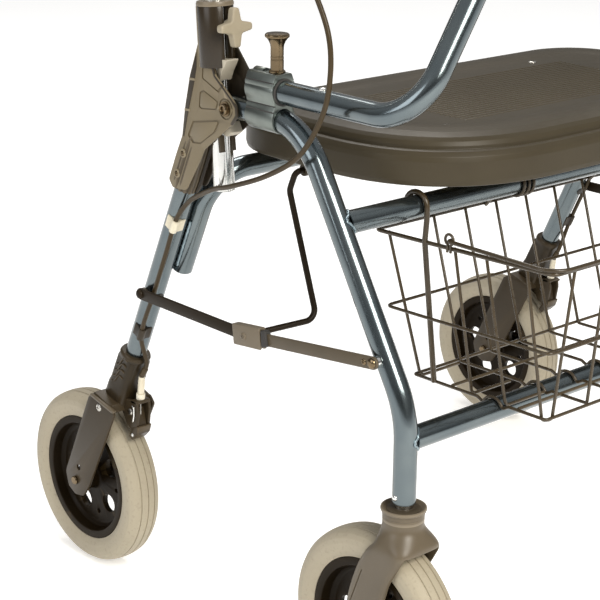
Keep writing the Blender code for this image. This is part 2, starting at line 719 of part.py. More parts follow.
def brace_front(name, side):
    """Front bar of the folding brace with the channel that covers the knee."""
    low, high = span(side, BRACE_INNER, BRACE_INNER + BRACE_THICKNESS)
    heading = math.atan2(BRACE_KNEE[1] - BRACE_FRONT[1], BRACE_KNEE[0] - BRACE_FRONT[0])
    neck = (BRACE_KNEE[0] - 0.0130 * math.cos(heading), BRACE_KNEE[1] - 0.0130 * math.sin(heading))
    bar = plate(f"brace_front_{name}", strap_outline(BRACE_FRONT, neck, BRACE_HALF_HEIGHT), low, high)
    turn = Matrix.Rotation(heading, 2)

    def knee_block(label, low_corner, high_corner, inner, outer):
        corners = [low_corner, (high_corner[0], low_corner[1]), high_corner, (low_corner[0], high_corner[1])]
        corners = [tuple(turn @ Vector(corner) + Vector(BRACE_KNEE)) for corner in corners]
        return plate(label, corners, *span(side, inner, outer))

    outer_face = BRACE_INNER + BRACE_THICKNESS
    inner_face = BRACE_INNER
    cheek = ((-0.0240, -0.0072), (0.0160, 0.0104))
    channel = [
        knee_block("web", (-0.0245, 0.0090), (0.0165, 0.0108), inner_face - 0.0024, outer_face + 0.0024),
        knee_block("inner_cheek", *cheek, inner_face - 0.0022, inner_face - 0.0004),
        knee_block("outer_cheek", *cheek, outer_face + 0.0004, outer_face + 0.0022),
        knee_block("spacer", (-0.0235, -0.0060), (-0.0105, 0.0096), inner_face - 0.0010, outer_face + 0.0010),
    ]
    pin = on_side(side, 0, BRACE_KNEE)
    reach = (side * (BRACE_INNER - 0.0020), side * (BRACE_INNER + BRACE_THICKNESS + 0.0040))
    channel.append(cylinder("knee_pin", pin, (1, 0, 0), 0.0030, min(reach), max(reach), 12))
    mount = on_side(side, 0, BRACE_FRONT)
    reach = (side * (TUBE_RADIUS + 0.0006), side * (BRACE_INNER + BRACE_THICKNESS + 0.0030))
    channel.append(cylinder("end_bolt", mount, (1, 0, 0), 0.0045, min(reach), max(reach), 12))
    join(bar, *channel)
    place(bar, "black_paint", mount)


def brace_rear(name, side):
    """Rear bar of the brace; its far pivot is left open, with its bolt riding on the bar."""
    low, high = span(side, BRACE_INNER, BRACE_INNER + BRACE_THICKNESS)
    bar = plate(f"brace_rear_{name}", strap_outline(BRACE_KNEE, BRACE_REAR, BRACE_HALF_HEIGHT), low, high)
    cut(bar, cylinder("pin_hole", on_side(side, 0, BRACE_KNEE), (1, 0, 0), 0.0034, -0.03, 0.03, 12))
    reach = (side * (TUBE_RADIUS + 0.0006), side * (BRACE_INNER + BRACE_THICKNESS + 0.0030))
    mount = on_side(side, 0, BRACE_REAR)
    join(bar, cylinder("end_bolt", mount, (1, 0, 0), 0.0045, min(reach), max(reach), 12))
    place(bar, "black_paint", on_side(side, 0, BRACE_KNEE))


def seat_rod(name, side):
    """Bent wire that lifts the brace's knee when the seat is raised."""
    inset = -0.058
    corners = [
        on_side(side, BRACE_INNER - 0.0040, BRACE_KNEE),
        on_side(side, inset - 0.004, (BRACE_KNEE[0] - 0.014, BRACE_KNEE[1] + 0.0035)),
        on_side(side, inset, (-0.0260, 0.4790)),
        on_side(side, inset, SEAT_ROD_TOP),
        on_side(side, inset - 0.030, SEAT_ROD_TOP),
    ]
    rod = tube(f"seat_rod_{name}", bent_path(corners, [0.012, 0.012, 0.006]), 0.0031, sides=8)
    place(rod, "black_paint", on_side(side, inset, SEAT_ROD_TOP))


# Brake cables

ADJUSTER = ((0.1500, 0.2290), (0.1480, 0.2460))
CABLE_ON_LEG = (0.300, 0.350, 0.400, 0.440)
CABLE_LOOP = [
    (0.0060, (0.0480, 0.4640)),
    (0.0110, (0.0250, 0.4770)),
    (0.0200, (-0.0050, 0.4890)),
    (0.0260, (-0.0371, 0.4990)),
    (0.0270, (-0.0884, 0.5190)),
    (0.0270, (-0.1317, 0.5440)),
    (0.0270, (-0.1582, 0.5755)),
    (0.0270, (-0.1733, 0.6095)),
    (0.0270, (-0.1750, 0.6530)),
    (0.0270, (-0.1582, 0.6907)),
    (0.0260, (-0.1180, 0.7420)),
    (0.0230, (-0.0700, 0.7850)),
    (0.0195, (-0.0150, 0.8170)),
    (0.0175, (0.0300, 0.8340)),
    (0.0080, (0.0580, 0.8430)),
    (0.0000, (0.0745, 0.8470)),
]


def cable_route(side):
    """Up from the adjuster, along the front of the rear leg, round the loop and into the lever."""
    route = [(0, (ADJUSTER[1][0], ADJUSTER[1][1] + 4 * GAP)), (0, (0.1385, 0.2640))]
    route += [(0.0106, (rear_leg_y(height) - 0.0117, height)) for height in CABLE_ON_LEG]
    return [on_side(side, outboard, spot) for outboard, spot in route + CABLE_LOOP]


def smooth_route(points, per_span):
    """Points on a Catmull-Rom curve through the route's points."""
    padded = [points[0] * 2 - points[1], *points, points[-1] * 2 - points[-2]]
    route = []
    for before, start, end, after in zip(padded, padded[1:], padded[2:], padded[3:]):
        for step in range(per_span):
            t = step / per_span
            route.append(
                0.5
                * (
                    2 * start
                    + (end - before) * t
                    + (2 * before - 5 * start + 4 * end - after) * t**2
                    + (3 * start - before - 3 * end + after) * t**3
                )
            )
    route.append(points[-1])
    return route


def brake_cable(name, side):
    """Sheathed cable from the lever, in a loop beside the frame, clipped down the rear leg to the brake."""
    points = cable_route(side)
    curve = bpy.data.curves.new(f"brake_cable_{name}", "CURVE")
    curve.dimensions = "3D"
    curve.bevel_depth = CABLE_RADIUS
    curve.bevel_resolution = 2
    curve.use_fill_caps = True
    route = smooth_route(points, 2)
    spline = curve.splines.new("POLY")
    spline.points.add(len(route) - 1)
    origin = points[0]
    for spot, point in zip(spline.points, route):
        spot.co = (*(point - origin), 1)
    cable = bpy.data.objects.new(f"brake_cable_{name}", curve)
    cable.location = origin
    curve.materials.append(finish("cable_sheath"))
    bpy.context.collection.objects.link(cable)


def cable_adjuster(name, side):
    """Threaded barrel that the cable enters above the brake arm."""
    base = on_side(side, 0, ADJUSTER[0])
    axis = on_side(side, 0, ADJUSTER[1]) - base
    length = axis.length
    profile = [(0, 0), (0.0030, 0), (0.0030, 0.003), (0.0040, 0.003), (0.0040, length), (0, length)]
    place(turned(f"cable_adjuster_{name}", profile, base, axis, 12), "bright_aluminium", base)


def build():
    for leftover in list(bpy.data.objects):
        bpy.data.objects.remove(leftover)
    cross_tube("upper_cross_tube", UPPER_TUBE)
    cross_tube("lower_cross_tube", LOWER_TUBE)
    rear_cross_tube()
    backrest()
    seat()
    basket()
    basket_bail()
    for name, side in SIDES.items():
        front_leg(name, side)
        hinge_block(name, side)
        plunger(name, side)
        pivot_bolt(name, side)
        caster_fork(name, side)
        wheel(name, side, FRONT_AXLE, "front", 0.0290)
        wheel(name, side, REAR_AXLE, "rear", 0.0280)
        rear_leg(name, side)
        hinge_shell(name, side, 1)
        hinge_shell(name, side, -1)
        leg_bracket(name, side)
        brake_arm(name, side)
        handle_post(name, side)
        handle_grip(name, side)
        lever_housing(name, side)
        brake_lever(name, side)
        star_knob(name, side)
        brace_front(name, side)
        brace_rear(name, side)
        seat_rod(name, side)
        brake_cable(name, side)
        cable_adjuster(name, side)


build()
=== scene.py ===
"""Looks of the folding four-wheeled walker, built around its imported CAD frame.

Metres, +Z up, floor at z = 0. The walker rolls towards -Y; its right side is at -X. Places that
the frame gives come from its joints and boxes; the others are named here or beside the piece that
they shape.
"""

import math

import bmesh
import bpy
from mathutils import Matrix, Vector
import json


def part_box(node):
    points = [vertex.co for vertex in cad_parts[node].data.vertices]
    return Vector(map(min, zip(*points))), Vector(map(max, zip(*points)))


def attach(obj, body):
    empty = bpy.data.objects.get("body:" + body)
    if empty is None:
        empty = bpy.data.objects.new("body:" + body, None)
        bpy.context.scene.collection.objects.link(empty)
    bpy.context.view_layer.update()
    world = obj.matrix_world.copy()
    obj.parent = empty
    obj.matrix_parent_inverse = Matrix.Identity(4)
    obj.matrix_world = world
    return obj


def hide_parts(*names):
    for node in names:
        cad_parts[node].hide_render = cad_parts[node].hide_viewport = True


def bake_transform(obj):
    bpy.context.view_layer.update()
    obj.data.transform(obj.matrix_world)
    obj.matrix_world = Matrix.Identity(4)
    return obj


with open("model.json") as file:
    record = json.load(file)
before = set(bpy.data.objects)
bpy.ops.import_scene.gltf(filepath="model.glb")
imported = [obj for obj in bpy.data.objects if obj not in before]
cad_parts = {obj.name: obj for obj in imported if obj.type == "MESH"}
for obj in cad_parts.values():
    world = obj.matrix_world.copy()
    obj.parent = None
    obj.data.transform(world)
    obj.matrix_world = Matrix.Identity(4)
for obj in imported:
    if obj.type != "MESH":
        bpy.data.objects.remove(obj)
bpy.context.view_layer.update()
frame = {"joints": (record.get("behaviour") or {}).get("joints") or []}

SIDES = {"right": -1, "left": 1}
X_AXIS = Vector((1, 0, 0))
Y_AXIS = Vector((0, 1, 0))
Z_AXIS = Vector((0, 0, 1))


def joint_spot(name):
    """(y, z) of a joint's pivot at rest."""
    joint = next(joint for joint in frame["joints"] if joint["name"] == name)
    return joint["pos_m"][1], joint["pos_m"][2]


def box_middle(node):
    """The middle of a CAD node's box."""
    low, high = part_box(node)
    return (low + high) / 2


# Places from the frame, as (y, z) in the side view

HALF_TRACK = box_middle("rear_tyre_left").x
REAR_AXLE = joint_spot("rear_wheel_spin_left")
FRONT_AXLE = joint_spot("front_wheel_spin_left")
STEM_Y = joint_spot("caster_swivel_left")[0]
STEM_TOP_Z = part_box("front_leg_left")[0].z
PIVOT = joint_spot("rear_fold")
UPPER_TUBE = joint_spot("seat_hinge")
LOWER_TUBE = (STEM_Y, box_middle("lower_cross_tube").z)
BRACE_FRONT = joint_spot("brace_pivot_left")
BRACE_KNEE = joint_spot("brace_knee_left")
SEAT_ROD_TOP = joint_spot("seat_rod_pivot_left")
BRAKE_PIVOT = joint_spot("brake_arm_pivot_left")
LEVER_PIVOT = joint_spot("brake_lever_pivot_left")
BAIL_EYE = joint_spot("bail_hinge")
KNOB_Z = joint_spot("knob_turn_left")[1]
WHEEL_RADIUS = REAR_AXLE[1]
BACKREST_TOP_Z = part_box("backrest")[1].z - 0.0112
BLOCK_LOW, BLOCK_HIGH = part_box("hinge_block_left")
SEAT_LOW, SEAT_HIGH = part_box("seat")
BASKET_LOW, BASKET_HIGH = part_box("basket")

# Places that no box or joint gives

LEG_SHOULDER = (-0.1104, PIVOT[1])
LEG_KNEE = (STEM_Y, 0.327)
REAR_LEG_TOP = (0.0366, 0.538)
REAR_LEG_SLOPE = -0.453
REAR_LEG_END_Z = 0.214
BACKREST_Z = 0.5937
BACKREST_CORNER_Y = -0.255
BACKREST_LEAN = 0.647
BRACE_REAR = (0.1225, 0.3495)
POST_FOOT = (0.0045, 0.483)
POST_SLOPE = 0.0738
GRIP_START = (0.0335, 0.88)
GRIP_END = (0.2, 0.886)
PLUNGER_Y = -0.0735

# Cross-section sizes

TUBE_RADIUS = 0.0112
TUBE_WALL = 0.0018
POST_RADIUS = 0.0105
AXLE_RADIUS = 0.004
SHELL_INNER = 0.0118
SHELL_OUTER = 0.014
BRACE_INNER = 0.016
BRACE_THICKNESS = 0.003
BRACE_HALF_HEIGHT = 0.0062
ROUND_SIDES = 40
BEND_STEP = math.radians(4)


# Geometry helpers


def link_mesh(name, points, faces, smooth=35):
    """A new object from points and faces, with its faces turned outwards."""
    mesh = bpy.data.meshes.new(name)
    mesh.from_pydata([tuple(point) for point in points], [], faces)
    work = bmesh.new()
    work.from_mesh(mesh)
    bmesh.ops.recalc_face_normals(work, faces=work.faces)
    work.to_mesh(mesh)
    work.free()
    piece = bpy.data.objects.new(name, mesh)
    bpy.context.collection.objects.link(piece)
    shade(piece, smooth)
    return piece


def shade(piece, degrees=35):
    """Smooth shading, with hard edges above the angle."""
    piece.data.shade_smooth()
    piece.data.set_sharp_from_angle(angle=math.radians(degrees))


def bent_path(corners, radii, step=BEND_STEP):
    """The corners' polyline with each inner corner rounded to its radius."""
    corners = [Vector(corner) for corner in corners]
    path = [corners[0]]
    for before, corner, after, radius in zip(corners, corners[1:], corners[2:], radii):
        inward = (before - corner).normalized()
        outward = (after - corner).normalized()
        turn = math.pi - inward.angle(outward)
        if turn < 0.01:
            path.append(corner)
            continue
        setback = radius * math.tan(turn / 2)
        start = corner + inward * setback
        middle = corner + (inward + outward).normalized() * (radius / math.cos(turn / 2))
        arm = start - middle
        axis = arm.cross(corner + outward * setback - middle).normalized()
        steps = max(3, round(turn / step))
        for index in range(steps + 1):
            path.append(middle + Matrix.Rotation(turn * index / steps, 3, axis) @ arm)
    path.append(corners[-1])
    return path


def path_frames(path, closed=False):
    """A pair of axes square to the path at each of its points, carried along without twist."""
    frames = []
    side = None
    count = len(path)
    for index in range(count):
        before = path[(index - 1) % count] if closed else path[max(index - 1, 0)]
        after = path[(index + 1) % count] if closed else path[min(index + 1, count - 1)]
        along = (after - before).normalized()
        if side is None:
            side = X_AXIS if abs(along.x) < 0.9 else Z_AXIS
        side = (side - along * side.dot(along)).normalized()
        frames.append((side, along.cross(side)))
    return frames


def ring_faces(low, high, count):
    """Quads between two rings of points that start at the indices low and high."""
    return [
        (low + corner, low + (corner + 1) % count, high + (corner + 1) % count, high + corner)
        for corner in range(count)
    ]


def ring_points(centre, axes, section):
    """The section's points in space, laid out from the centre along the two axes."""
    first, second = axes
    return [centre + first * across + second * rise for across, rise in section]


def stack(name, rings, closed=False, smooth=35):
    """A solid through rings of equal length; closed joins the last ring to the first."""
    count = len(rings[0])
    starts = [index * count for index in range(len(rings))]
    faces = []
    for low, high in zip(starts, starts[1:] + starts[:1] if closed else starts[1:]):
        faces += ring_faces(low, high, count)
    if not closed:
        faces += [tuple(range(count)), tuple(range(starts[-1], starts[-1] + count))]
    return link_mesh(name, [point for ring in rings for point in ring], faces, smooth)


def loft(name, path, section, closed=False, smooth=35):
    """A solid swept along the path; section(index) is the ring in the frame's two axes."""
    path = [Vector(point) for point in path]
    frames = path_frames(path, closed)
    rings = [ring_points(path[index], frames[index], section(index)) for index in range(len(path))]
    return stack(name, rings, closed, smooth)


def circle(radius, sides=ROUND_SIDES):
    """A regular polygon about the origin, for round sections."""
    return [
        (radius * math.cos(math.tau * corner / sides), radius * math.sin(math.tau * corner / sides))
        for corner in range(sides)
    ]


def squared_ring(half_width, half_depth, square, steps):
    """An ellipse that gets squarer as the exponent goes from 1 towards 0."""
    ring = []
    for step in range(steps):
        angle = math.tau * (step + 0.5) / steps
        across = math.copysign(abs(math.cos(angle)) ** square * half_width, math.cos(angle))
        rise = math.copysign(abs(math.sin(angle)) ** square * half_depth, math.sin(angle))
        ring.append((across, rise))
    return ring


def bar(name, path, radius, sides=ROUND_SIDES, closed=False, dome=True):
    """A round bar along the path, with its ends rounded off."""
    path = [Vector(point) for point in path]
    radii = [radius] * len(path)
    if dome and not closed:
        start, end = path[0], path[-1]
        first, last = (path[1] - start).normalized(), (path[-2] - end).normalized()
        edge = min(radius * 0.35, 0.0006)
        path = [start, start + first * edge * 0.3, start + first * edge] + path[1:-1]
        path += [end + last * edge, end + last * edge * 0.3, end]
        inner = [radius - edge, radius - edge * 0.3]
        radii = inner + [radius] * (len(path) - 4) + inner[::-1]
    return loft(name, path, lambda index: circle(radii[index], sides), closed)


def pipe(name, path):
    """A frame tube along the path, with open ends and slightly rounded lips."""
    path = [Vector(point) for point in path]
    start, end = path[0], path[-1]
    outer, inner, lip = TUBE_RADIUS, TUBE_RADIUS - TUBE_WALL, 0.0004
    between = list(range(1, len(path) - 1))
    stations = [(start, outer - lip, 0), (start + (path[1] - start).normalized() * lip, outer, 0)]
    stations += [(path[index], outer, index) for index in between]
    stations += [
        (end + (path[-2] - end).normalized() * lip, outer, -1), (end, outer - lip, -1),
        (end, inner, -1),
    ]
    stations += [(path[index], inner, index) for index in reversed(between)]
    stations += [(start, inner, 0)]
    frames = path_frames(path)
    rings = [ring_points(point, frames[index], circle(radius)) for point, radius, index in stations]
    return stack(name, rings, closed=True)


def lathe(name, profile, centre, axis, segments=64, smooth=30):
    """A solid or ring of revolution; the profile is a closed loop of (radius, distance along)."""
    axis = Vector(axis).normalized()
    helper = Z_AXIS if abs(axis.z) < 0.9 else X_AXIS
    side = (helper - axis * helper.dot(axis)).normalized()
    up = axis.cross(side)
    centre = Vector(centre)
    points = []
    rings = []
    for radius, along in profile:
        if radius < 1e-7:
            rings.append([len(points)])
            points.append(centre + axis * along)
            continue
        rings.append(list(range(len(points), len(points) + segments)))
        points += ring_points(centre + axis * along, (side, up), circle(radius, segments))
    faces = []
    for ring, following_ring in zip(rings, rings[1:] + rings[:1]):
        for corner in range(segments):
            following = (corner + 1) % segments
            loop = [
                ring[corner % len(ring)],
                ring[following % len(ring)],
                following_ring[following % len(following_ring)],
                following_ring[corner % len(following_ring)],
            ]
            face = tuple(dict.fromkeys(loop))
            if len(face) > 2:
                faces.append(face)
    return link_mesh(name, points, faces, smooth)


def drill(centre, axis, radius, low, high, segments):
    """A plain cylinder along the axis, to cut a hole with."""
    return lathe(
        "drill", [(0, low), (radius, low), (radius, high), (0, high)], centre, axis, segments
    )


def fillet(outline, radius, steps=4, closed=True):
    """The outline with its corners rounded; radius is one number or one for each corner."""
    count = len(outline)
    radii = [radius] * count if isinstance(radius, (int, float)) else radius
    points = []
    for index in range(count):
        if not closed and index in (0, count - 1) or radii[index] <= 0:
            points.append(tuple(outline[index]))
            continue
        corner = Vector(outline[index])
        before = Vector(outline[index - 1]) - corner
        after = Vector(outline[(index + 1) % count]) - corner
        turn = math.pi - before.angle(after)
        if turn < 0.05:
            points.append(tuple(corner))
            continue
        reach = min(radii[index] * math.tan(turn / 2), 0.45 * before.length, 0.45 * after.length)
        start = corner + before.normalized() * reach
        end = corner + after.normalized() * reach
        for step in range(steps + 1):
            t = step / steps
            points.append(tuple(start * (1 - t) ** 2 + corner * 2 * t * (1 - t) + end * t**2))
    return points


def arc(centre, radius, start_degrees, end_degrees, steps):
    """Points along part of a circle."""
    points = []
    for step in range(steps + 1):
        angle = math.radians(start_degrees + (end_degrees - start_degrees) * step / steps)
        points.append((centre[0] + radius * math.cos(angle), centre[1] + radius * math.sin(angle)))
    return points


def slab(name, outline, low, high, normal="X", edge=0.0004):
    """A flat outline given thickness along X, Y or Z, with rounded edges."""
    place_point = {
        "X": lambda first, second, depth: (depth, first, second),
        "Y": lambda first, second, depth: (first, depth, second),
        "Z": lambda first, second, depth: (first, second, depth),
    }[normal]
    depths = min(low, high), max(low, high)
    piece = stack(name, [[place_point(*corner, depth) for corner in outline] for depth in depths])
    if edge:
        bevel(piece, edge)
    return piece


def block(name, low, high, edge=0.0004):
    """A box between two opposite corners, with rounded edges."""
    low, high = [min(pair) for pair in zip(low, high)], [max(pair) for pair in zip(low, high)]
    outline = [(low[1], low[2]), (high[1], low[2]), (high[1], high[2]), (low[1], high[2])]
    return slab(name, outline, low[0], high[0], edge=edge)


def apply_modifiers(piece, smooth=35):
    """Bakes the piece's modifiers into its mesh."""
    depsgraph = bpy.context.evaluated_depsgraph_get()
    mesh = bpy.data.meshes.new_from_object(piece.evaluated_get(depsgraph))
    piece.modifiers.clear()
    piece.data = mesh
    shade(piece, smooth)
    return piece


def bevel(piece, width, segments=2, degrees=40):
    """Rounds the edges that are sharper than the angle."""
    modifier = piece.modifiers.new("edges", "BEVEL")
    modifier.width = width
    modifier.segments = segments
    modifier.limit_method = "ANGLE"
    modifier.angle_limit = math.radians(degrees)
    modifier.use_clamp_overlap = True
    return apply_modifiers(piece)


def combine(target, tools, operation):
    """A boolean of the target with each tool; the tools are deleted."""
    for tool in tools:
        modifier = target.modifiers.new(operation, "BOOLEAN")
        modifier.operation = operation
        modifier.solver = "EXACT"
        modifier.object = tool
    apply_modifiers(target)
    for tool in tools:
        bpy.data.objects.remove(tool)
    return target


def cut(target, *tools):
    return combine(target, tools, "DIFFERENCE")


def union(target, *tools):
    return combine(target, tools, "UNION")


def gather(name, parts):
    """Several closed bodies as one piece."""
    work = bmesh.new()
    for part in parts:
        work.from_mesh(part.data)
    mesh = bpy.data.meshes.new(name)
    work.to_mesh(mesh)
    work.free()
    for part in parts:
        bpy.data.objects.remove(part)
    piece = bpy.data.objects.new(name, mesh)
    bpy.context.collection.objects.link(piece)
    shade(piece)
    return piece


def melt(piece, voxel, rounds):
    """Run overlapping bodies into one moulded surface with soft edges and filled corners."""
    modifier = piece.modifiers.new("melt", "REMESH")
    modifier.mode = "VOXEL"
    modifier.voxel_size = voxel
    modifier.adaptivity = 0
    modifier = piece.modifiers.new("soften", "SMOOTH")
    modifier.factor = 0.5
    modifier.iterations = rounds
    return apply_modifiers(piece, 60)


def smooth_route(points, per_span):
    """Points on a Catmull-Rom curve through the route's points."""
    padded = [points[0] * 2 - points[1], *points, points[-1] * 2 - points[-2]]
    route = []
    for before, start, end, after in zip(padded, padded[1:], padded[2:], padded[3:]):
        for step in range(per_span):
            t = step / per_span
            linear = 2 * start + (end - before) * t
            square = (2 * before - 5 * start + 4 * end - after) * t**2
            cubic = (3 * start - before - 3 * end + after) * t**3
            route.append(0.5 * (linear + square + cubic))
    route.append(points[-1])
    return route


def on_side(side, outboard, y_z):
    """A world point: outboard is measured from the leg's plane, away from the middle."""
    return Vector((side * (HALF_TRACK + outboard), *y_z))


def span(side, inner, outer):
    """The X values of two distances outboard of one side's leg plane."""
    return side * (HALF_TRACK + inner), side * (HALF_TRACK + outer)


def rear_leg_y(height):
    """The Y of the rear leg's axis at a height."""
    return REAR_LEG_TOP[0] + (height - REAR_LEG_TOP[1]) * REAR_LEG_SLOPE


def post_y(height):
    """The Y of the handle post's axis at a height."""
    return POST_FOOT[0] + (height - POST_FOOT[1]) * POST_SLOPE


def strap_outline(start, end, half_width, steps=10):
    """A flat bar with round ends between two points."""
    heading = math.degrees(math.atan2(end[1] - start[1], end[0] - start[0]))
    return arc(end, half_width, heading - 90, heading + 90, steps) + arc(
        start, half_width, heading + 90, heading + 270, steps
    )


def pan_head(name, centre, axis, radius=0.0045, height=0.0022, recess="cross"):
    """A domed screw head with a cross or hexagon recess; its flat side lies at the centre point."""
    profile = [(0, 0), (radius, 0), (radius, height * 0.25)]
    for turn in (20, 40, 60, 75):
        angle = math.radians(turn)
        profile.append((radius * math.cos(angle), height * (0.25 + 0.75 * math.sin(angle))))
    profile += [(0, height)]
    head = lathe(name, profile, centre, axis, 32)
    turn = Vector(axis).to_track_quat("Z", "Y").to_matrix().to_4x4()
    spot = Matrix.Translation(Vector(centre))
    arm, half = radius * 0.55, radius * 0.11
    if recess == "cross":
        tools = [
            block("slot", (-arm, -half, height * 0.45), (arm, half, height * 2), 0),
            block("slot", (-half, -arm, height * 0.45), (half, arm, height * 2), 0),
        ]
    else:
        tools = [slab("slot", circle(radius * 0.45, 6), height * 0.4, height * 2, "Z", 0)]
    for tool in tools:
        tool.data.transform(spot @ turn)
    return cut(head, *tools)


def finish(piece, material, body, nodes=()):
    """Give the piece its material and body, and hide the CAD nodes that it stands for."""
    piece.data.materials.clear()
    piece.data.materials.append(MATERIALS[material])
    if body:
        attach(piece, body)
    if nodes:
        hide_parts(*nodes)
    return piece


# Materials


class Graph:
    """Short calls for building a material's nodes."""

    def __init__(self, name):
        self.material = bpy.data.materials.new(name)
        self.material.use_nodes = True
        self.nodes = self.material.node_tree.nodes
        self.links = self.material.node_tree.links
        self.shader = self.nodes["Principled BSDF"]
        self.place = self.nodes.new("ShaderNodeTexCoord").outputs["Object"]

    def node(self, kind, settings=(), **inputs):
        made = self.nodes.new(kind)
        for key, value in dict(settings).items():
            setattr(made, key, value)
        for key, value in inputs.items():
            socket = made.inputs[int(key[1:])] if key[0] == "_" else made.inputs[key]
            if isinstance(value, bpy.types.NodeSocket):
                self.links.new(value, socket)
            else:
                socket.default_value = value
        return made

    def noise(self, scale, detail=3.0, stretch=(1, 1, 1)):
        vector = self.node("ShaderNodeMapping", Vector=self.place, Scale=stretch).outputs["Vector"]
        made = self.node("ShaderNodeTexNoise", Vector=vector, Scale=scale, Detail=detail)
        return made.outputs["Fac"]

    def ramp(self, factor, low, high):
        """0 to 1 as the factor goes from low to high."""
        return self.node("ShaderNodeMapRange", _0=factor, _1=low, _2=high).outputs["Result"]

    def mix(self, factor, first, second):
        made = self.node("ShaderNodeMix", {"data_type": "RGBA"}, _0=factor, _6=first, _7=second)
        return made.outputs[2]

    def between(self, factor, low, high):
        return self.node("ShaderNodeMapRange", _0=factor, _3=low, _4=high).outputs["Result"]

    def bump(self, height, distance, normal=None):
        inputs = {"Height": height, "Distance": distance, "Strength": 1.0}
        if normal is not None:
            inputs["Normal"] = normal
        return self.node("ShaderNodeBump", **inputs).outputs["Normal"]

    def connect(self, output, socket):
        self.links.new(output, self.shader.inputs[socket])


def rgba(colour):
    return (*colour, 1.0)


def anodised(name, colour, deep, roughness=0.2):
    """Coloured anodised tube: metallic, with a faint drawn grain and a little handling haze."""
    graph = Graph(name)
    haze = graph.noise(22, 4)
    grain = graph.noise(900, 2)
    graph.connect(graph.mix(graph.ramp(haze, 0.35, 0.7), rgba(deep), rgba(colour)), "Base Color")
    graph.connect(
        graph.between(graph.noise(60, 5), roughness - 0.05, roughness + 0.09), "Roughness"
    )
    graph.connect(graph.bump(grain, 0.000012), "Normal")
    graph.shader.inputs["Metallic"].default_value = 0.92
    graph.shader.inputs["Coat Weight"].default_value = 0.35
    graph.shader.inputs["Coat Roughness"].default_value = 0.08
    return graph.material


def metal(name, colour, roughness, grain_scale=700, grain=0.00002, tint=0.8, stretch=(1, 1, 1)):
    """Bare or plated metal with fine grain and uneven polish."""
    graph = Graph(name)
    dull = tuple(channel * tint for channel in colour)
    spots = graph.noise(90, 5)
    graph.connect(graph.mix(graph.ramp(spots, 0.4, 0.75), rgba(colour), rgba(dull)), "Base Color")
    graph.connect(
        graph.between(graph.noise(160, 4, stretch), roughness * 0.7, roughness * 1.35), "Roughness"
    )
    graph.connect(graph.bump(graph.noise(grain_scale, 3, stretch), grain), "Normal")
    graph.shader.inputs["Metallic"].default_value = 1.0
    return graph.material


def moulded(
    name, colour, worn, roughness=0.42, grain_scale=1500, grain=0.00003, cloud=18, coat=0.0,
    specular=0.5,
):
    """Moulded plastic or paint: fine spark texture, slow colour clouds and paler worn edges."""
    graph = Graph(name)
    clouds = graph.ramp(graph.noise(cloud, 4), 0.3, 0.75)
    edges = graph.ramp(graph.node("ShaderNodeNewGeometry").outputs["Pointiness"], 0.51, 0.6)
    base = graph.mix(clouds, rgba(colour), rgba(tuple(channel * 0.78 for channel in colour)))
    graph.connect(graph.mix(edges, base, rgba(worn)), "Base Color")
    graph.connect(graph.between(graph.noise(70, 6), roughness - 0.07, roughness + 0.1), "Roughness")
    fine = graph.bump(graph.noise(grain_scale, 2), grain)
    graph.connect(graph.bump(graph.noise(grain_scale / 12, 2), grain * 2, fine), "Normal")
    graph.shader.inputs["Coat Weight"].default_value = coat
    graph.shader.inputs["Coat Roughness"].default_value = 0.2
    graph.shader.inputs["Specular IOR Level"].default_value = specular
    return graph.material


def tyre_rubber():
    """Pale solid tyre: matt, a little dusty, with slight yellowing in broad patches."""
    graph = Graph("tyre_rubber")
    patches = graph.ramp(graph.noise(9, 4), 0.35, 0.7)
    base = graph.mix(patches, rgba((0.425, 0.372, 0.272)), rgba((0.365, 0.318, 0.235)))
    dust = graph.ramp(graph.noise(260, 6), 0.55, 0.8)
    graph.connect(graph.mix(dust, base, rgba((0.325, 0.28, 0.205))), "Base Color")
    graph.connect(graph.between(graph.noise(140, 5), 0.48, 0.68), "Roughness")
    graph.connect(graph.bump(graph.noise(1200, 3), 0.00005), "Normal")
    graph.shader.inputs["Specular IOR Level"].default_value = 0.4
    return graph.material


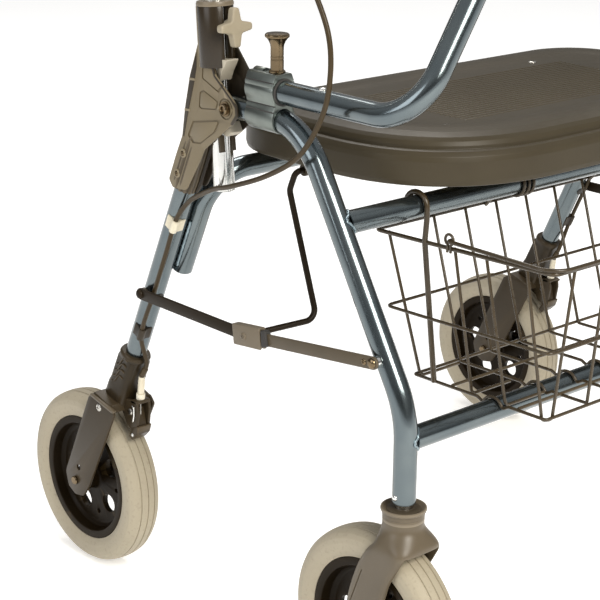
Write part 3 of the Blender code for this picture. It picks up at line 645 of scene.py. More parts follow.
# Moulded and painted surfaces: colour, worn colour, and what else differs from the usual
MOULDED = {
    "shell": ((0.16, 0.124, 0.07), (0.29, 0.24, 0.155), {"roughness": 0.4, "specular": 0.35}),
    "shell_dark": (
        (0.018, 0.012, 0.0065), (0.07, 0.055, 0.036), {"roughness": 0.42, "specular": 0.25}
    ),
    "fork": ((0.128, 0.1, 0.064), (0.22, 0.18, 0.125), {"roughness": 0.36, "specular": 0.42}),
    "hub": ((0.012, 0.0072, 0.0026), (0.034, 0.022, 0.009), {"roughness": 0.36, "specular": 0.08}),
    "seat": (
        (0.056, 0.045, 0.027),
        (0.085, 0.069, 0.043),
        {"roughness": 0.38, "grain_scale": 700, "grain": 0.00005, "cloud": 9, "specular": 0.2},
    ),
    "paint": (
        (0.026, 0.0175, 0.0075),
        (0.085, 0.062, 0.036),
        {"roughness": 0.33, "grain_scale": 900, "grain": 0.00002, "specular": 0.22},
    ),
    "brace": (
        (0.07, 0.052, 0.03),
        (0.14, 0.11, 0.07),
        {"roughness": 0.36, "grain_scale": 800, "grain": 0.00003, "cloud": 30, "specular": 0.3},
    ),
    "wire": (
        (0.034, 0.023, 0.0105),
        (0.085, 0.062, 0.034),
        {
            "roughness": 0.26,
            "grain_scale": 500,
            "grain": 0.00004,
            "cloud": 40,
            "coat": 0.15,
            "specular": 0.35,
        },
    ),
    "rubber": (
        (0.028, 0.026, 0.024),
        (0.05, 0.047, 0.043),
        {"roughness": 0.68, "grain_scale": 600, "grain": 0.00012},
    ),
    "sleeve": (
        (0.014, 0.0095, 0.0048),
        (0.05, 0.036, 0.021),
        {"roughness": 0.22, "grain_scale": 900, "grain": 0.00002, "specular": 0.35},
    ),
    "rod": (
        (0.012, 0.0078, 0.0036),
        (0.038, 0.026, 0.014),
        {"roughness": 0.36, "grain_scale": 900, "grain": 0.00002, "specular": 0.12},
    ),
    "sheath": (
        (0.042, 0.027, 0.01),
        (0.08, 0.055, 0.026),
        {"roughness": 0.34, "grain_scale": 900, "grain": 0.00003, "cloud": 25, "specular": 0.25},
    ),
    "knob": (
        (0.5, 0.445, 0.345),
        (0.58, 0.53, 0.43),
        {"roughness": 0.5, "grain_scale": 900, "grain": 0.00005},
    ),
    "star": (
        (0.375, 0.32, 0.225),
        (0.46, 0.4, 0.3),
        {"roughness": 0.5, "grain_scale": 900, "grain": 0.00005},
    ),
    "cream": (
        (0.78, 0.7, 0.52),
        (0.82, 0.76, 0.62),
        {"roughness": 0.4, "grain_scale": 900, "grain": 0.00003},
    ),
}
MATERIALS = {
    "blue_tube": anodised("blue_tube", (0.15, 0.178, 0.186), (0.112, 0.139, 0.152), 0.16),
    "block": metal("block", (0.2, 0.222, 0.205), 0.32, 500, 0.00003, 0.85, (1, 0.05, 1)),
    "polished": metal("polished", (0.83, 0.83, 0.8), 0.13, 900, 0.00001, 0.92, (1, 1, 0.04)),
    "steel": metal("steel", (0.56, 0.54, 0.5), 0.26),
    "bronze_steel": metal("bronze_steel", (0.2, 0.148, 0.088), 0.22, 600, 0.00002, 0.7),
    "weld": metal("weld", (0.3, 0.38, 0.42), 0.3, 300, 0.0002, 0.7),
    "tyre": tyre_rubber(),
}
MATERIALS |= {
    name: moulded(name, colour, worn, **more)
    for name, (colour, worn, more) in MOULDED.items()
}


# Camera, floor and light

CAMERA_SPOT = (-1.3909, -1.2941, 0.9249)
CAMERA_AZIMUTH = -41.7
CAMERA_ELEVATION = 18.44
CAMERA_ROLL = 0.573
CAMERA_LENS = 105.49
CAMERA_SHIFT = (-0.0045, 0.0027)


def camera():
    """The photograph's viewing angle, with a small shift for its framing."""
    data = bpy.data.cameras.new("camera")
    data.lens = CAMERA_LENS
    data.sensor_width = 36
    data.shift_x, data.shift_y = CAMERA_SHIFT
    view = bpy.data.objects.new("camera", data)
    bpy.context.collection.objects.link(view)
    turn, rise, roll = (
        math.radians(angle) for angle in (CAMERA_AZIMUTH, CAMERA_ELEVATION, CAMERA_ROLL)
    )
    level_reach = math.cos(rise)
    back = Vector((math.sin(turn) * level_reach, -math.cos(turn) * level_reach, math.sin(rise)))
    level = (-back).cross(Z_AXIS).normalized()
    upright = level.cross(-back)
    right = level * math.cos(roll) + upright * math.sin(roll)
    up = upright * math.cos(roll) - level * math.sin(roll)
    turned = Matrix((right, up, back)).transposed().to_4x4()
    view.matrix_world = Matrix.Translation(CAMERA_SPOT) @ turned
    bpy.context.scene.camera = view


def floor():
    """A wide pale studio floor."""
    half = 30
    corners = [(-half, -half, 0), (half, -half, 0), (half, half, 0), (-half, half, 0)]
    base = link_mesh("floor", corners, [(0, 1, 2, 3)])
    base.location.z = -0.0002
    graph = Graph("floor")
    patches = graph.ramp(graph.noise(2, 3), 0.3, 0.7)
    pale, paler = rgba((0.9, 0.9, 0.895)), rgba((0.93, 0.93, 0.925))
    graph.connect(graph.mix(patches, paler, pale), "Base Color")
    graph.shader.inputs["Roughness"].default_value = 0.9
    graph.shader.inputs["Specular IOR Level"].default_value = 0.2
    graph.shader.inputs["Emission Color"].default_value = (1, 1, 1, 1)
    graph.shader.inputs["Emission Strength"].default_value = 0.42
    base.data.materials.append(graph.material)


def area_light(name, spot, aim, size, power, colour=(1, 1, 1)):
    """A rectangular softbox aimed at a point."""
    data = bpy.data.lights.new(name, "AREA")
    data.shape = "RECTANGLE"
    data.size, data.size_y = size
    data.energy = power
    data.color = colour
    light = bpy.data.objects.new(name, data)
    light.location = spot
    light.rotation_mode = "QUATERNION"
    light.rotation_quaternion = (Vector(aim) - Vector(spot)).to_track_quat("-Z", "Y")
    bpy.context.collection.objects.link(light)


def studio():
    """Soft light from above and both sides, and a pale room that is dimmer at eye level."""
    turn = math.radians(CAMERA_AZIMUTH)
    world = bpy.data.worlds.new("studio")
    bpy.context.scene.world = world
    world.use_nodes = True
    nodes, links = world.node_tree.nodes, world.node_tree.links
    coordinate = nodes.new("ShaderNodeTexCoord")
    split = nodes.new("ShaderNodeSeparateXYZ")
    ramp = nodes.new("ShaderNodeValToRGB")
    links.new(coordinate.outputs["Generated"], split.inputs[0])
    links.new(split.outputs["Z"], ramp.inputs["Fac"])
    links.new(ramp.outputs["Color"], nodes["Background"].inputs["Color"])
    ramp.color_ramp.elements[0].position = 0.0
    ramp.color_ramp.elements[0].color = (0.56, 0.56, 0.55, 1)
    ramp.color_ramp.elements[1].position = 0.95
    ramp.color_ramp.elements[1].color = (1.0, 1.0, 1.0, 1)
    for position, level in ((0.08, 0.2), (0.3, 0.48), (0.55, 0.9)):
        ramp.color_ramp.elements.new(position).color = (level, level, level, 1)
    towards = nodes.new("ShaderNodeVectorMath")
    towards.operation = "DOT_PRODUCT"
    links.new(coordinate.outputs["Generated"], towards.inputs[0])
    towards.inputs[1].default_value = (math.sin(turn), -math.cos(turn), 0)
    shade_off = nodes.new("ShaderNodeMapRange")
    links.new(towards.outputs["Value"], shade_off.inputs["Value"])
    limits = {"From Min": 0.88, "From Max": 0.975, "To Min": 0.54, "To Max": 0.2}
    for socket, value in limits.items():
        shade_off.inputs[socket].default_value = value
    links.new(shade_off.outputs["Result"], nodes["Background"].inputs["Strength"])
    middle = (0, 0, 0.4)
    area_light("key", (-0.6, -2.6, 2.3), middle, (1.5, 1.5), 96, (1.0, 0.955, 0.87))
    area_light("fill", (-2.8, 0.3, 1.5), middle, (1.5, 1.2), 17, (0.97, 0.98, 1.0))
    area_light("back", (1.3, 1.9, 3.3), middle, (1.6, 1.2), 40, (1.0, 0.97, 0.93))


bpy.context.scene.view_settings.view_transform = "Standard"
camera()
floor()
studio()


# Tubes of both frames


def front_leg_path(side):
    """The front leg's axis: hinge, shoulder, knee and stem."""
    corners = [(PIVOT[0] + 0.0095, PIVOT[1]), LEG_SHOULDER, LEG_KNEE, (STEM_Y, STEM_TOP_Z)]
    return bent_path([on_side(side, 0, corner) for corner in corners], [0.08, 0.1])


def weld_bead(name, side, bar_spot, leg_direction):
    """A rippled bead where a cross tube meets a leg."""
    along = Vector((0, *leg_direction)).normalized()
    across = along.cross(X_AXIS).normalized()
    radius = TUBE_RADIUS + 0.0002
    points = []
    for step in range(72):
        angle = math.tau * step / 72
        level = radius * math.cos(angle)
        rise = radius * math.sin(angle)
        depth = math.sqrt(max(TUBE_RADIUS**2 - level**2, 0)) + 0.0004
        ripple = 0.00035 * math.sin(angle * 19)
        centre = Vector((side * (HALF_TRACK - depth - ripple), *bar_spot))
        points.append(centre + across * level + along * rise)
    return bar(name, points, 0.0013, 10, closed=True)


def front_frame():
    """Cross tubes, front legs, their welds and a rivet above each stem."""
    shoulder = (LEG_SHOULDER[0] - LEG_KNEE[0], LEG_SHOULDER[1] - LEG_KNEE[1])
    reach = HALF_TRACK - 0.0075
    for node, spot in (("upper_cross_tube", UPPER_TUBE), ("lower_cross_tube", LOWER_TUBE)):
        tube = pipe(f"{node}_finished", [(-reach, *spot), (reach, *spot)])
        finish(tube, "blue_tube", "front_frame", [node])
    for name, side in SIDES.items():
        leg = pipe(f"front_leg_tube_{name}", front_leg_path(side))
        finish(leg, "blue_tube", "front_frame", [f"front_leg_{name}"])
        beads = [
            weld_bead("bead", side, UPPER_TUBE, shoulder),
            weld_bead("bead", side, LOWER_TUBE, (0, 1)),
        ]
        finish(gather(f"front_welds_{name}", beads), "weld", "front_frame")
        dome = [(0, 0), (0.003, 0), (0.0026, 0.001), (0.0014, 0.0017), (0, 0.0019)]
        spot = on_side(side, TUBE_RADIUS - 0.0003, (STEM_Y + 0.001, 0.246))
        rivet = lathe(f"leg_rivet_{name}", dome, spot, (side, 0, 0), 24)
        finish(rivet, "polished", "front_frame")


def backrest_path():
    """The hoop's axis from one hinge block to the other."""
    lean = (BACKREST_TOP_Z - BACKREST_Z) * BACKREST_LEAN
    rear = BLOCK_HIGH.y - 0.003
    half = [
        on_side(-1, 0, (rear, BACKREST_Z)),
        on_side(-1, 0, (BACKREST_CORNER_Y, BACKREST_Z)),
        on_side(-1, -lean, (BACKREST_CORNER_Y, BACKREST_TOP_Z)),
    ]
    mirrored = [Vector((-point.x, point.y, point.z)) for point in reversed(half)]
    return bent_path(half + mirrored, [0.05, 0.06, 0.06, 0.05])


def backrest():
    """Bent hoop with a spring button on each end."""
    hoop = pipe("backrest_hoop", backrest_path())
    finish(hoop, "blue_tube", "backrest", ["backrest"])
    for name, side in SIDES.items():
        dome = [
            (0, -0.001), (0.0036, -0.001), (0.0036, 0.0007), (0.003, 0.0016), (0.0014, 0.0021),
            (0, 0.0022),
        ]
        spot = on_side(side, 0, (-0.137, BACKREST_Z + TUBE_RADIUS))
        button = lathe(f"backrest_button_{name}", dome, spot, Z_AXIS, 32)
        finish(button, "polished", "backrest")


def rear_tubes():
    """The rear legs and the low arch between them, with their welds."""
    inset = -0.0235
    foot = (rear_leg_y(0.374) - 0.006, 0.374)
    corner = (rear_leg_y(0.487) - 0.006, 0.487)
    corners = [
        on_side(-1, inset, foot),
        on_side(-1, inset, corner),
        on_side(1, inset, corner),
        on_side(1, inset, foot),
    ]
    arch = pipe("rear_arch_tube", bent_path(corners, [0.045, 0.045]))
    finish(arch, "blue_tube", "rear_frame", ["rear_cross_tube"])
    for name, side in SIDES.items():
        ends = [
            on_side(side, 0, REAR_LEG_TOP),
            on_side(side, 0, (rear_leg_y(REAR_LEG_END_Z), REAR_LEG_END_Z)),
        ]
        leg = pipe(f"rear_leg_tube_{name}", ends)
        finish(leg, "blue_tube", "rear_frame", [f"rear_leg_{name}"])
        beads = []
        for forward in (-1, 1):
            points = []
            for step in range(25):
                height = 0.381 + 0.052 * step / 24
                ripple = 0.0004 * math.sin(step * 2.1)
                spot = (rear_leg_y(height) - 0.003 + forward * (0.0066 + ripple), height)
                points.append(on_side(side, -TUBE_RADIUS - 0.0006, spot))
            beads.append(bar("bead", points, 0.0016, 12))
        finish(gather(f"arch_welds_{name}", beads), "weld", "rear_frame")
        cap = [(0, -0.001), (0.0046, -0.001), (0.0046, 0.0012), (0.0036, 0.002), (0, 0.0022)]
        spot = on_side(side, 0.001, (rear_leg_y(0.345) - TUBE_RADIUS - 0.0005, 0.345))
        cap = lathe(f"leg_stop_{name}", cap, spot, (0, -1, -0.45), 32)
        finish(cap, "rubber", "rear_frame")


front_frame()
backrest()
rear_tubes()


# Wheels and casters


def tyre_mesh():
    """Solid tyre with three tread grooves and a bead against the rim."""
    shoulder = [
        (0.0724, -0.016), (0.0754, -0.0178), (0.08, -0.0198), (0.0865, -0.0205), (0.0915, -0.0196),
    ]
    shoulder = fillet([*shoulder, (0.0955, -0.0168), (0.0982, -0.0128)], 0.004, 4, closed=False)

    def crown(along):
        return WHEEL_RADIUS - 0.0012 * (along / 0.011) ** 2

    tread = []
    for middle in (-0.0088, 0.0, 0.0088):
        for offset, depth in ((-0.001, 0), (-0.0006, 0.0011), (0.0006, 0.0011), (0.001, 0)):
            tread.append((crown(middle + offset) - depth, middle + offset))
        if middle < 0.005:
            tread.append((crown(middle + 0.0044), middle + 0.0044))
    profile = shoulder + tread + [(radius, -along) for radius, along in reversed(shoulder)]
    return lathe("tyre_shape", profile, (0, 0, 0), X_AXIS, 144, smooth=28)


def hub_mesh():
    """Dished hub: rim ring, recessed web with five round windows and drain holes, and a boss."""
    inner = AXLE_RADIUS + 0.0003
    half_profile = [
        (inner, -0.0185), (0.0105, -0.0185), (0.014, -0.0165), (0.015, -0.004), (0.0575, -0.0024),
        (0.0612, -0.006), (0.0635, -0.0158), (0.0716, -0.0163),
    ]
    half = fillet(
        half_profile, [0, 0.0015, 0.0015, 0.004, 0.004, 0.003, 0.0012, 0.0004], 4, closed=False
    )
    profile = half + [(radius, -along) for radius, along in reversed(half)]
    hub = lathe("hub_shape", profile, (0, 0, 0), X_AXIS, 120)
    tools = []
    for index in range(5):
        heading = math.tau * index / 5 - 2.374
        spot = (0.0385 * math.cos(heading), 0.0385 * math.sin(heading))
        tools.append(slab("window", arc(spot, 0.0108, 0, 350, 35), -0.03, 0.03, "X", 0))
        heading += math.tau / 10
        spot = (0.044 * math.cos(heading), 0.044 * math.sin(heading))
        tools.append(slab("drain", arc(spot, 0.003, 0, 345, 23), -0.03, 0.03, "X", 0))
    cut(hub, *tools)
    return bevel(hub, 0.0006, 2, 50)


def wheels():
    """Both wheels on each side: tyre, hub, axle bolt with its nut, and two spacers."""
    tyre, hub = tyre_mesh(), hub_mesh()
    for name, side in SIDES.items():
        for kind, axle, reach in (("front", FRONT_AXLE, 0.029), ("rear", REAR_AXLE, 0.028)):
            body = f"{kind}_wheel_{name}"
            centre = on_side(side, 0, axle)
            for part, shape, slot in (("tyre", tyre, "tyre_grey"), ("hub", hub, "hub_plastic")):
                piece = bpy.data.objects.new(f"{kind}_{part}_{name}_finished", shape.data.copy())
                bpy.context.collection.objects.link(piece)
                piece.location = centre
                finish(piece, part, body, [f"{kind}_{part}_{name}"])
            head = reach + 0.0003
            bolt = [
                (0, -head - 0.003), (0.004, -head - 0.003), (0.005, -head - 0.0018),
                (0.005, -head), (AXLE_RADIUS, -head), (AXLE_RADIUS, head), (0.005, head),
                (0.005, head + 0.0006), (0, head + 0.0006),
            ]
            node = f"{kind}_axle_{name}"
            bolt = lathe(f"{node}_finished", bolt, centre, X_AXIS, 48)
            union(bolt, hexagon("nut", centre, side, -head - 0.0001, -head - 0.0036, 0.0046))
            finish(bolt, "bronze_steel", body, [node])
            spacers = []
            bore = AXLE_RADIUS + 0.0004
            for low, high in ((-0.019, -0.0224), (0.019, 0.0224)):
                ring = [(bore, low), (0.0085, low), (0.0085, high), (bore, high)]
                spacers.append(lathe("spacer", ring, centre, X_AXIS, 40))
            finish(gather(f"{kind}_spacers_{name}", spacers), "steel", body)
    for shape in (tyre, hub):
        bpy.data.objects.remove(shape)


def hexagon(name, centre, side, low, high, radius):
    """A nut or hexagon head on the X axis through the centre."""
    outline = [(centre.y + across, centre.z + rise) for across, rise in circle(radius, 6)]
    return slab(name, outline, centre.x + side * low, centre.x + side * high, edge=0.0004)


FORK_LEVELS = [
    (0.227, 0.0196, 0.0196, 0.0196, 1.0),
    (0.219, 0.0196, 0.0196, 0.0196, 1.0),
    (0.215, 0.0203, 0.0205, 0.0196, 0.95),
    (0.211, 0.0222, 0.0223, 0.019, 0.86),
    (0.207, 0.0246, 0.0243, 0.0186, 0.74),
    (0.203, 0.0267, 0.0262, 0.0186, 0.62),
    (0.199, 0.0281, 0.0274, 0.0198, 0.52),
    (0.195, 0.0288, 0.0268, 0.0224, 0.44),
    (0.19, 0.029, 0.0238, 0.0255, 0.36),
    (0.18, 0.029, 0.0175, 0.031, 0.3),
    (0.172, 0.029, 0.0126, 0.0345, 0.27),
    (0.162, 0.029, 0.0076, 0.0383, 0.25),
    (0.15, 0.029, 0.0038, 0.0425, 0.25),
    (0.1324, 0.029, -0.003, 0.047, 0.25),
    (0.115, 0.029, -0.011, 0.048, 0.25),
    (0.1, 0.029, -0.0155, 0.0465, 0.25),
    (0.0915, 0.029, -0.019, 0.043, 0.3),
    (0.0858, 0.029, -0.025, 0.037, 0.4),
]


def fork_body(side):
    """Neck, shoulders and blades in one flowing body, level by level."""
    heights = smooth_route([Vector((level[0], level[1], level[2])) for level in FORK_LEVELS], 3)
    others = smooth_route([Vector((level[3], level[4], 0)) for level in FORK_LEVELS], 3)
    rings = []
    for (height, half, front), (rear, square, _) in zip(heights, others):
        middle = STEM_Y + (rear - front) / 2
        reach = (rear + front) / 2
        ring = squared_ring(half, reach, square, 96)
        rings.append(
            [(side * HALF_TRACK + across, middle + along, height) for across, along in ring]
        )
    return stack("fork_body", rings, smooth=50)


def caster_fork(name, side):
    """Moulded fork with a lipped collar round the stem, and its wheel room cut out."""
    stem = on_side(side, 0, (STEM_Y, 0))
    fork = fork_body(side)
    arch = [(STEM_Y - 0.06, 0.07), (STEM_Y + 0.11, 0.07)]
    arch += arc((STEM_Y + 0.026, 0.102), 0.103, 20, 100, 20) + [
        (STEM_Y - 0.022, 0.1965), (STEM_Y - 0.06, 0.1965),
    ]
    tools = [slab("wheel_room", arch, *span(side, -0.0236, 0.0236), edge=0.003)]
    for hand in (-1, 1):
        groove = [
            (STEM_Y + 0.0228, 0.171), (STEM_Y + 0.0246, 0.171), (STEM_Y + 0.0405, 0.13),
            (STEM_Y + 0.0387, 0.13),
        ]
        groove = fillet(groove, 0.0008, 3)
        tools.append(slab("groove", groove, *span(side, hand * 0.028, hand * 0.031), edge=0))
    cut(fork, *tools)
    bevel(fork, 0.0007, 2, 55)
    bosses = []
    for hand in (-1, 1):
        ring = [
            (0.0044, hand * 0.0234), (0.0125, hand * 0.0234), (0.0125, hand * 0.0292),
            (0.0112, hand * 0.0298), (0.0044, hand * 0.0298),
        ]
        bosses.append(lathe("boss", ring, on_side(side, 0, FRONT_AXLE), (side, 0, 0), 48))
    collar = [
        (0.009, 0.2225), (0.0196, 0.2225), (0.0197, 0.2252), (0.0186, 0.2259), (0.0186, 0.2266),
        (0.0199, 0.2274), (0.02, 0.2314), (0.0212, 0.2322), (0.0217, 0.2336), (0.0214, 0.2352),
        (0.0204, 0.2358), (0.019, 0.2352), (0.016, 0.233), (0.009, 0.2322),
    ]
    bosses.append(lathe("collar", collar, stem, Z_AXIS, 72))
    fork = gather(f"caster_fork_{name}_finished", [fork, *bosses])
    finish(fork, "fork", f"caster_{name}", [f"caster_fork_{name}"])
    seal = [(0.0088, 0.2325), (0.0158, 0.2325), (0.0162, 0.2337), (0.012, 0.2352), (0.0088, 0.2352)]
    ring = lathe(f"stem_seal_{name}", seal, stem, Z_AXIS, 48)
    finish(ring, "shell_dark", f"caster_{name}")
    profile = [(0, 0.231), (0.0086, 0.231), (0.0086, 0.264), (0, 0.264)]
    finish(
        lathe(f"caster_stem_{name}", profile, stem, Z_AXIS, 40), "steel", f"caster_{name}"
    )


wheels()
for fork_name, fork_side in SIDES.items():
    caster_fork(fork_name, fork_side)


# Hinges, blocks and what is on them

SHELL_OUTLINE = [
    (0.0215, 0.64),
    (0.029, 0.621),
    (0.04, 0.593),
    (0.0486, 0.559),
    (0.0532, 0.531),
    (0.064, 0.5093),
    (0.076, 0.4823),
    (0.07, 0.4745),
    (0.049, 0.4752),
    (0.0257, 0.5109),
    (0.0193, 0.5222),
    (0.002, 0.5353),
    (-0.0239, 0.5546),
    (-0.032, 0.564),
    (-0.031, 0.573),
    (-0.0241, 0.58),
    (0.0014, 0.5988),
    (0.011, 0.623),
    (0.017, 0.64),
]
SHELL_ROUNDING = [
    0.001, 0.006, 0.01, 0.01, 0.01, 0.01, 0.004, 0.004, 0.008, 0.006, 0.01, 0.006, 0.006, 0.007,
    0.007, 0.008, 0.01, 0.006, 0.001,
]
SHELL_PANELS = [
    [(0.0196, 0.6105), (0.0214, 0.5928), (-0.0045, 0.5823), (-0.0121, 0.5903), (0.015, 0.6112)],
    [
        (0.0247, 0.5786), (0.0265, 0.5636), (0.0218, 0.5624), (-0.0013, 0.5653), (-0.0044, 0.5736),
        (0.0185, 0.5816),
    ],
    [
        (0.0362, 0.5481), (0.0444, 0.5326), (0.0365, 0.526), (0.0239, 0.5273), (0.0004, 0.5434),
        (-0.0074, 0.557),
    ],
]
SHELL_SCREWS = [(0.0511, 0.5132), (0.0613, 0.4908)]
SLEEVE_Z = (0.604, 0.662)
SLEEVE_RADIUS = 0.0178
BLOCK_LOBE = 0.0145


def hinge_block(name, side):
    """Extruded aluminium clamp: a lobe round each tube, a ridged flat top, and seam grooves with
    painted shade strips in them.
    """
    width = BLOCK_LOBE
    upper, lower, top = BACKREST_Z, PIVOT[1], BLOCK_HIGH.z

    def lobe(height, turns):
        return [
            (width * math.cos(math.radians(turn)), height + width * math.sin(math.radians(turn)))
            for turn in turns
        ]

    half = [
        (width, lower - 0.001), *lobe(lower, (12, 24, 34)), (0.0118, lower + 0.01),
        (0.0112, lower + 0.0125), (0.0118, upper - 0.01),
    ]
    half += lobe(upper, (-34, -18, 0, 12))
    half += [
        (0.0134, upper + 0.0046), (0.0138, upper + 0.0062), (0.0128, upper + 0.01),
        (0.0104, top - 0.0012), (0.009, top),
    ]
    outline = lobe(lower, range(-170, -9, 10)) + half + [(-x, z) for x, z in reversed(half)]
    outline = [(side * HALF_TRACK + x, z) for x, z in outline]
    node = f"hinge_block_{name}"
    clamp = slab(f"{node}_finished", outline, BLOCK_LOW.y, BLOCK_HIGH.y, "Y", edge=0.0005)
    tube_room = TUBE_RADIUS + 0.0004
    tools = [
        drill(on_side(side, 0, (-0.1, upper)), Y_AXIS, tube_room, 0, 0.1, 48),
        bar("leg_room", front_leg_path(side), tube_room, dome=False),
        drill(on_side(side, 0, (PLUNGER_Y, top)), Z_AXIS, 0.005, -0.01, 0.01, 32),
    ]
    seams = [(upper + 0.0088, 0.0118), (lower + 0.0122, 0.01), (lower + 0.0066, 0.0118)]
    seams = [(hand, height, depth) for hand in (-1, 1) for height, depth in seams]
    seam_width = 0.0012
    for hand, height, depth in seams:
        near, far = span(side, hand * depth, hand * 0.016)
        tools.append(block("seam", (near, -0.1, height), (far, 0, height + seam_width), 0))
    cut(clamp, *tools)
    shade(clamp, 30)
    finish(clamp, "block", "front_frame", [node])
    # Near-black strips in the rubber material, laid in the seam grooves: painted shade, so the
    # grooves read dark.
    seam_shade_strips = []
    for hand, height, depth in seams:
        near, far = span(side, hand * (depth - 0.001), hand * (depth + 0.0008))
        low_y, high_y = BLOCK_LOW.y + 0.0006, BLOCK_HIGH.y - 0.0006
        seam_shade_strips.append(block("line", (near, low_y, height), (far, high_y, height + seam_width), 0))
    finish(gather(f"block_seam_shade_{name}", seam_shade_strips), "rubber", "front_frame")
    ridge = arc((side * HALF_TRACK, top - 0.0032), 0.0056, 35, 145, 10)
    ridge = slab(
        f"block_ridge_{name}", ridge, BLOCK_HIGH.y - 0.001, BLOCK_HIGH.y - 0.015, "Y", edge=0.0003
    )
    finish(ridge, "block", "front_frame")
    bore = TUBE_RADIUS + 0.0001
    seal = [(bore, 0), (0.0128, 0), (0.0131, 0.0008), (0.0128, 0.0016), (bore, 0.0016)]
    ring = lathe("seal", seal, on_side(side, 0, (BLOCK_LOW.y - 0.0017, upper)), Y_AXIS, 48)
    finish(gather(f"block_seal_{name}", [ring]), "rubber", "front_frame")


def plunger(name, side):
    """Spring plunger: a waisted pull knob with a flared head, on a collar."""
    profile = [
        (0, -0.004), (0.0042, -0.004), (0.0042, 0.0004), (0.0078, 0.0004), (0.008, 0.0016),
        (0.007, 0.0024), (0.0063, 0.003), (0.0063, 0.012), (0.006, 0.0123), (0.006, 0.0129),
        (0.0063, 0.0132), (0.0063, 0.015), (0.006, 0.0153), (0.006, 0.0159), (0.0062, 0.0162),
        (0.0062, 0.0235), (0.0066, 0.0262), (0.008, 0.0296), (0.01, 0.0322), (0.0114, 0.0334),
        (0.0117, 0.0346), (0.0114, 0.0358), (0.0104, 0.0366), (0.007, 0.0371), (0, 0.0373),
    ]
    base = on_side(side, 0, (PLUNGER_Y, BLOCK_HIGH.z))
    body = f"plunger_{name}"
    finish(
        lathe(f"plunger_{name}_finished", profile, base, Z_AXIS, 64),
        "bronze_steel",
        body,
        [body],
    )


def pivot_bolt(name, side):
    """Hollow rivet through the hinge with a dished washer on each side."""
    reach = SHELL_OUTER + 0.0006
    profile = [
        (0, -reach - 0.002), (0.0026, -reach - 0.002), (0.0032, -reach - 0.0036),
        (0.0046, -reach - 0.004), (0.0054, -reach - 0.003), (0.0056, -reach - 0.001),
        (0.0074, -reach - 0.001), (0.0074, -reach), (0.0041, -reach),
    ]
    profile += [(radius, -along) for radius, along in reversed(profile)]
    bolt = lathe(f"pivot_bolt_{name}_finished", profile, on_side(side, 0, PIVOT), X_AXIS, 48)
    finish(bolt, "bronze_steel", "front_frame", [f"pivot_bolt_{name}"])


def side_frame(side, hand, start, end):
    """Axes round a tube: square to it and forwards, and out of the leg's plane."""
    forward = X_AXIS.cross((end - start).normalized()).normalized()
    if forward.y > 0:
        forward = -forward
    return forward, Vector((side * hand, 0, 0))


def sleeve_half(side, hand, inner, outer, start, end):
    """Part of a ring round the handle post; headings turn from forwards to outboard."""
    section = arc((0, 0), outer, start, end, 20) + arc((0, 0), inner, end, start, 20)
    ends = [on_side(side, 0, (post_y(height), height)) for height in SLEEVE_Z]
    axes = side_frame(side, hand, *ends)
    return bevel(stack("sleeve", [ring_points(centre, axes, section) for centre in ends]), 0.0005)


def hinge_shell(name, side, hand):
    """Half of the hinge: fan plate with panels, fluted clamp on the leg and half of the sleeve."""
    label = "outer" if hand > 0 else "inner"
    face = hand * SHELL_OUTER
    outwards = (side * hand, 0, 0)
    outline = fillet(SHELL_OUTLINE, SHELL_ROUNDING, 4)
    plate = slab("plate", outline, *span(side, hand * SHELL_INNER, face), edge=0.0005)
    tools = []
    for panel in SHELL_PANELS:
        depth = span(side, face - hand * 0.0009, face + hand * 0.01)
        tools.append(slab("panel", fillet(panel, 0.0025, 4), *depth, edge=0))
    for spot in SHELL_SCREWS:
        tools.append(drill(on_side(side, face, spot), outwards, 0.0033, -0.0012, 0.006, 32))
    ring = [(0.0088, -0.001), (0.0104, -0.001), (0.0104, 0.006), (0.0088, 0.006)]
    tools.append(lathe("ring", ring, on_side(side, face, PIVOT), outwards, 64))
    post_room = [on_side(side, 0, (post_y(height), height)) for height in (0.45, 0.7)]
    tools.append(bar("post_room", post_room, POST_RADIUS + 0.0004, dome=False))
    tools.append(drill(on_side(side, 0, PIVOT), X_AXIS, 0.0043, -0.03, 0.03, 32))
    cut(plate, *tools)
    bevel(plate, 0.00025, 1, 50)
    parts = [plate]
    for panel in SHELL_PANELS:
        middle = sum((Vector(spot) for spot in panel), Vector((0, 0))) / len(panel)
        island = fillet(
            [tuple(middle + (Vector(spot) - middle) * 0.86) for spot in panel], 0.0022, 4
        )
        parts.append(
            slab(
                "island", island, *span(side, face - hand * 0.0012, face - hand * 0.0001),
                edge=0.0003,
            ),
        )
    node = f"hinge_shell_{label}_{name}"
    material = "shell" if hand > 0 else "shell_dark"
    finish(gather(f"{node}_finished", parts), material, "rear_frame", [node])
    sleeve = sleeve_half(side, hand, POST_RADIUS + 0.0004, SLEEVE_RADIUS, 14, 176)
    sleeve.name = f"post_sleeve_{label}_{name}"
    finish(sleeve, "sleeve", "rear_frame")
    clamp_flutes(name, side, hand, label, "brace" if hand > 0 else "shell_dark")
    boss = [
        (0, -0.001), (0.0046, -0.001), (0.0046, 0.0012), (0.004, 0.0017), (0.0028, 0.0017),
        (0.0028, 0.0008), (0, 0.0008),
    ]
    bosses = [lathe("boss", boss, on_side(side, face, spot), outwards, 32) for spot in SHELL_SCREWS]
    finish(
        gather(f"shell_screw_bosses_{label}_{name}", bosses),
        material,
        "rear_frame",
    )
    for index, spot in enumerate(SHELL_SCREWS):
        place = on_side(side, face + hand * 0.0007, spot)
        head = pan_head(f"shell_screw_{label}_{name}_{index}", place, outwards, 0.0026, 0.0012)
        finish(head, "bronze_steel", "rear_frame")
    shell_edges(name, side, hand, label, material)


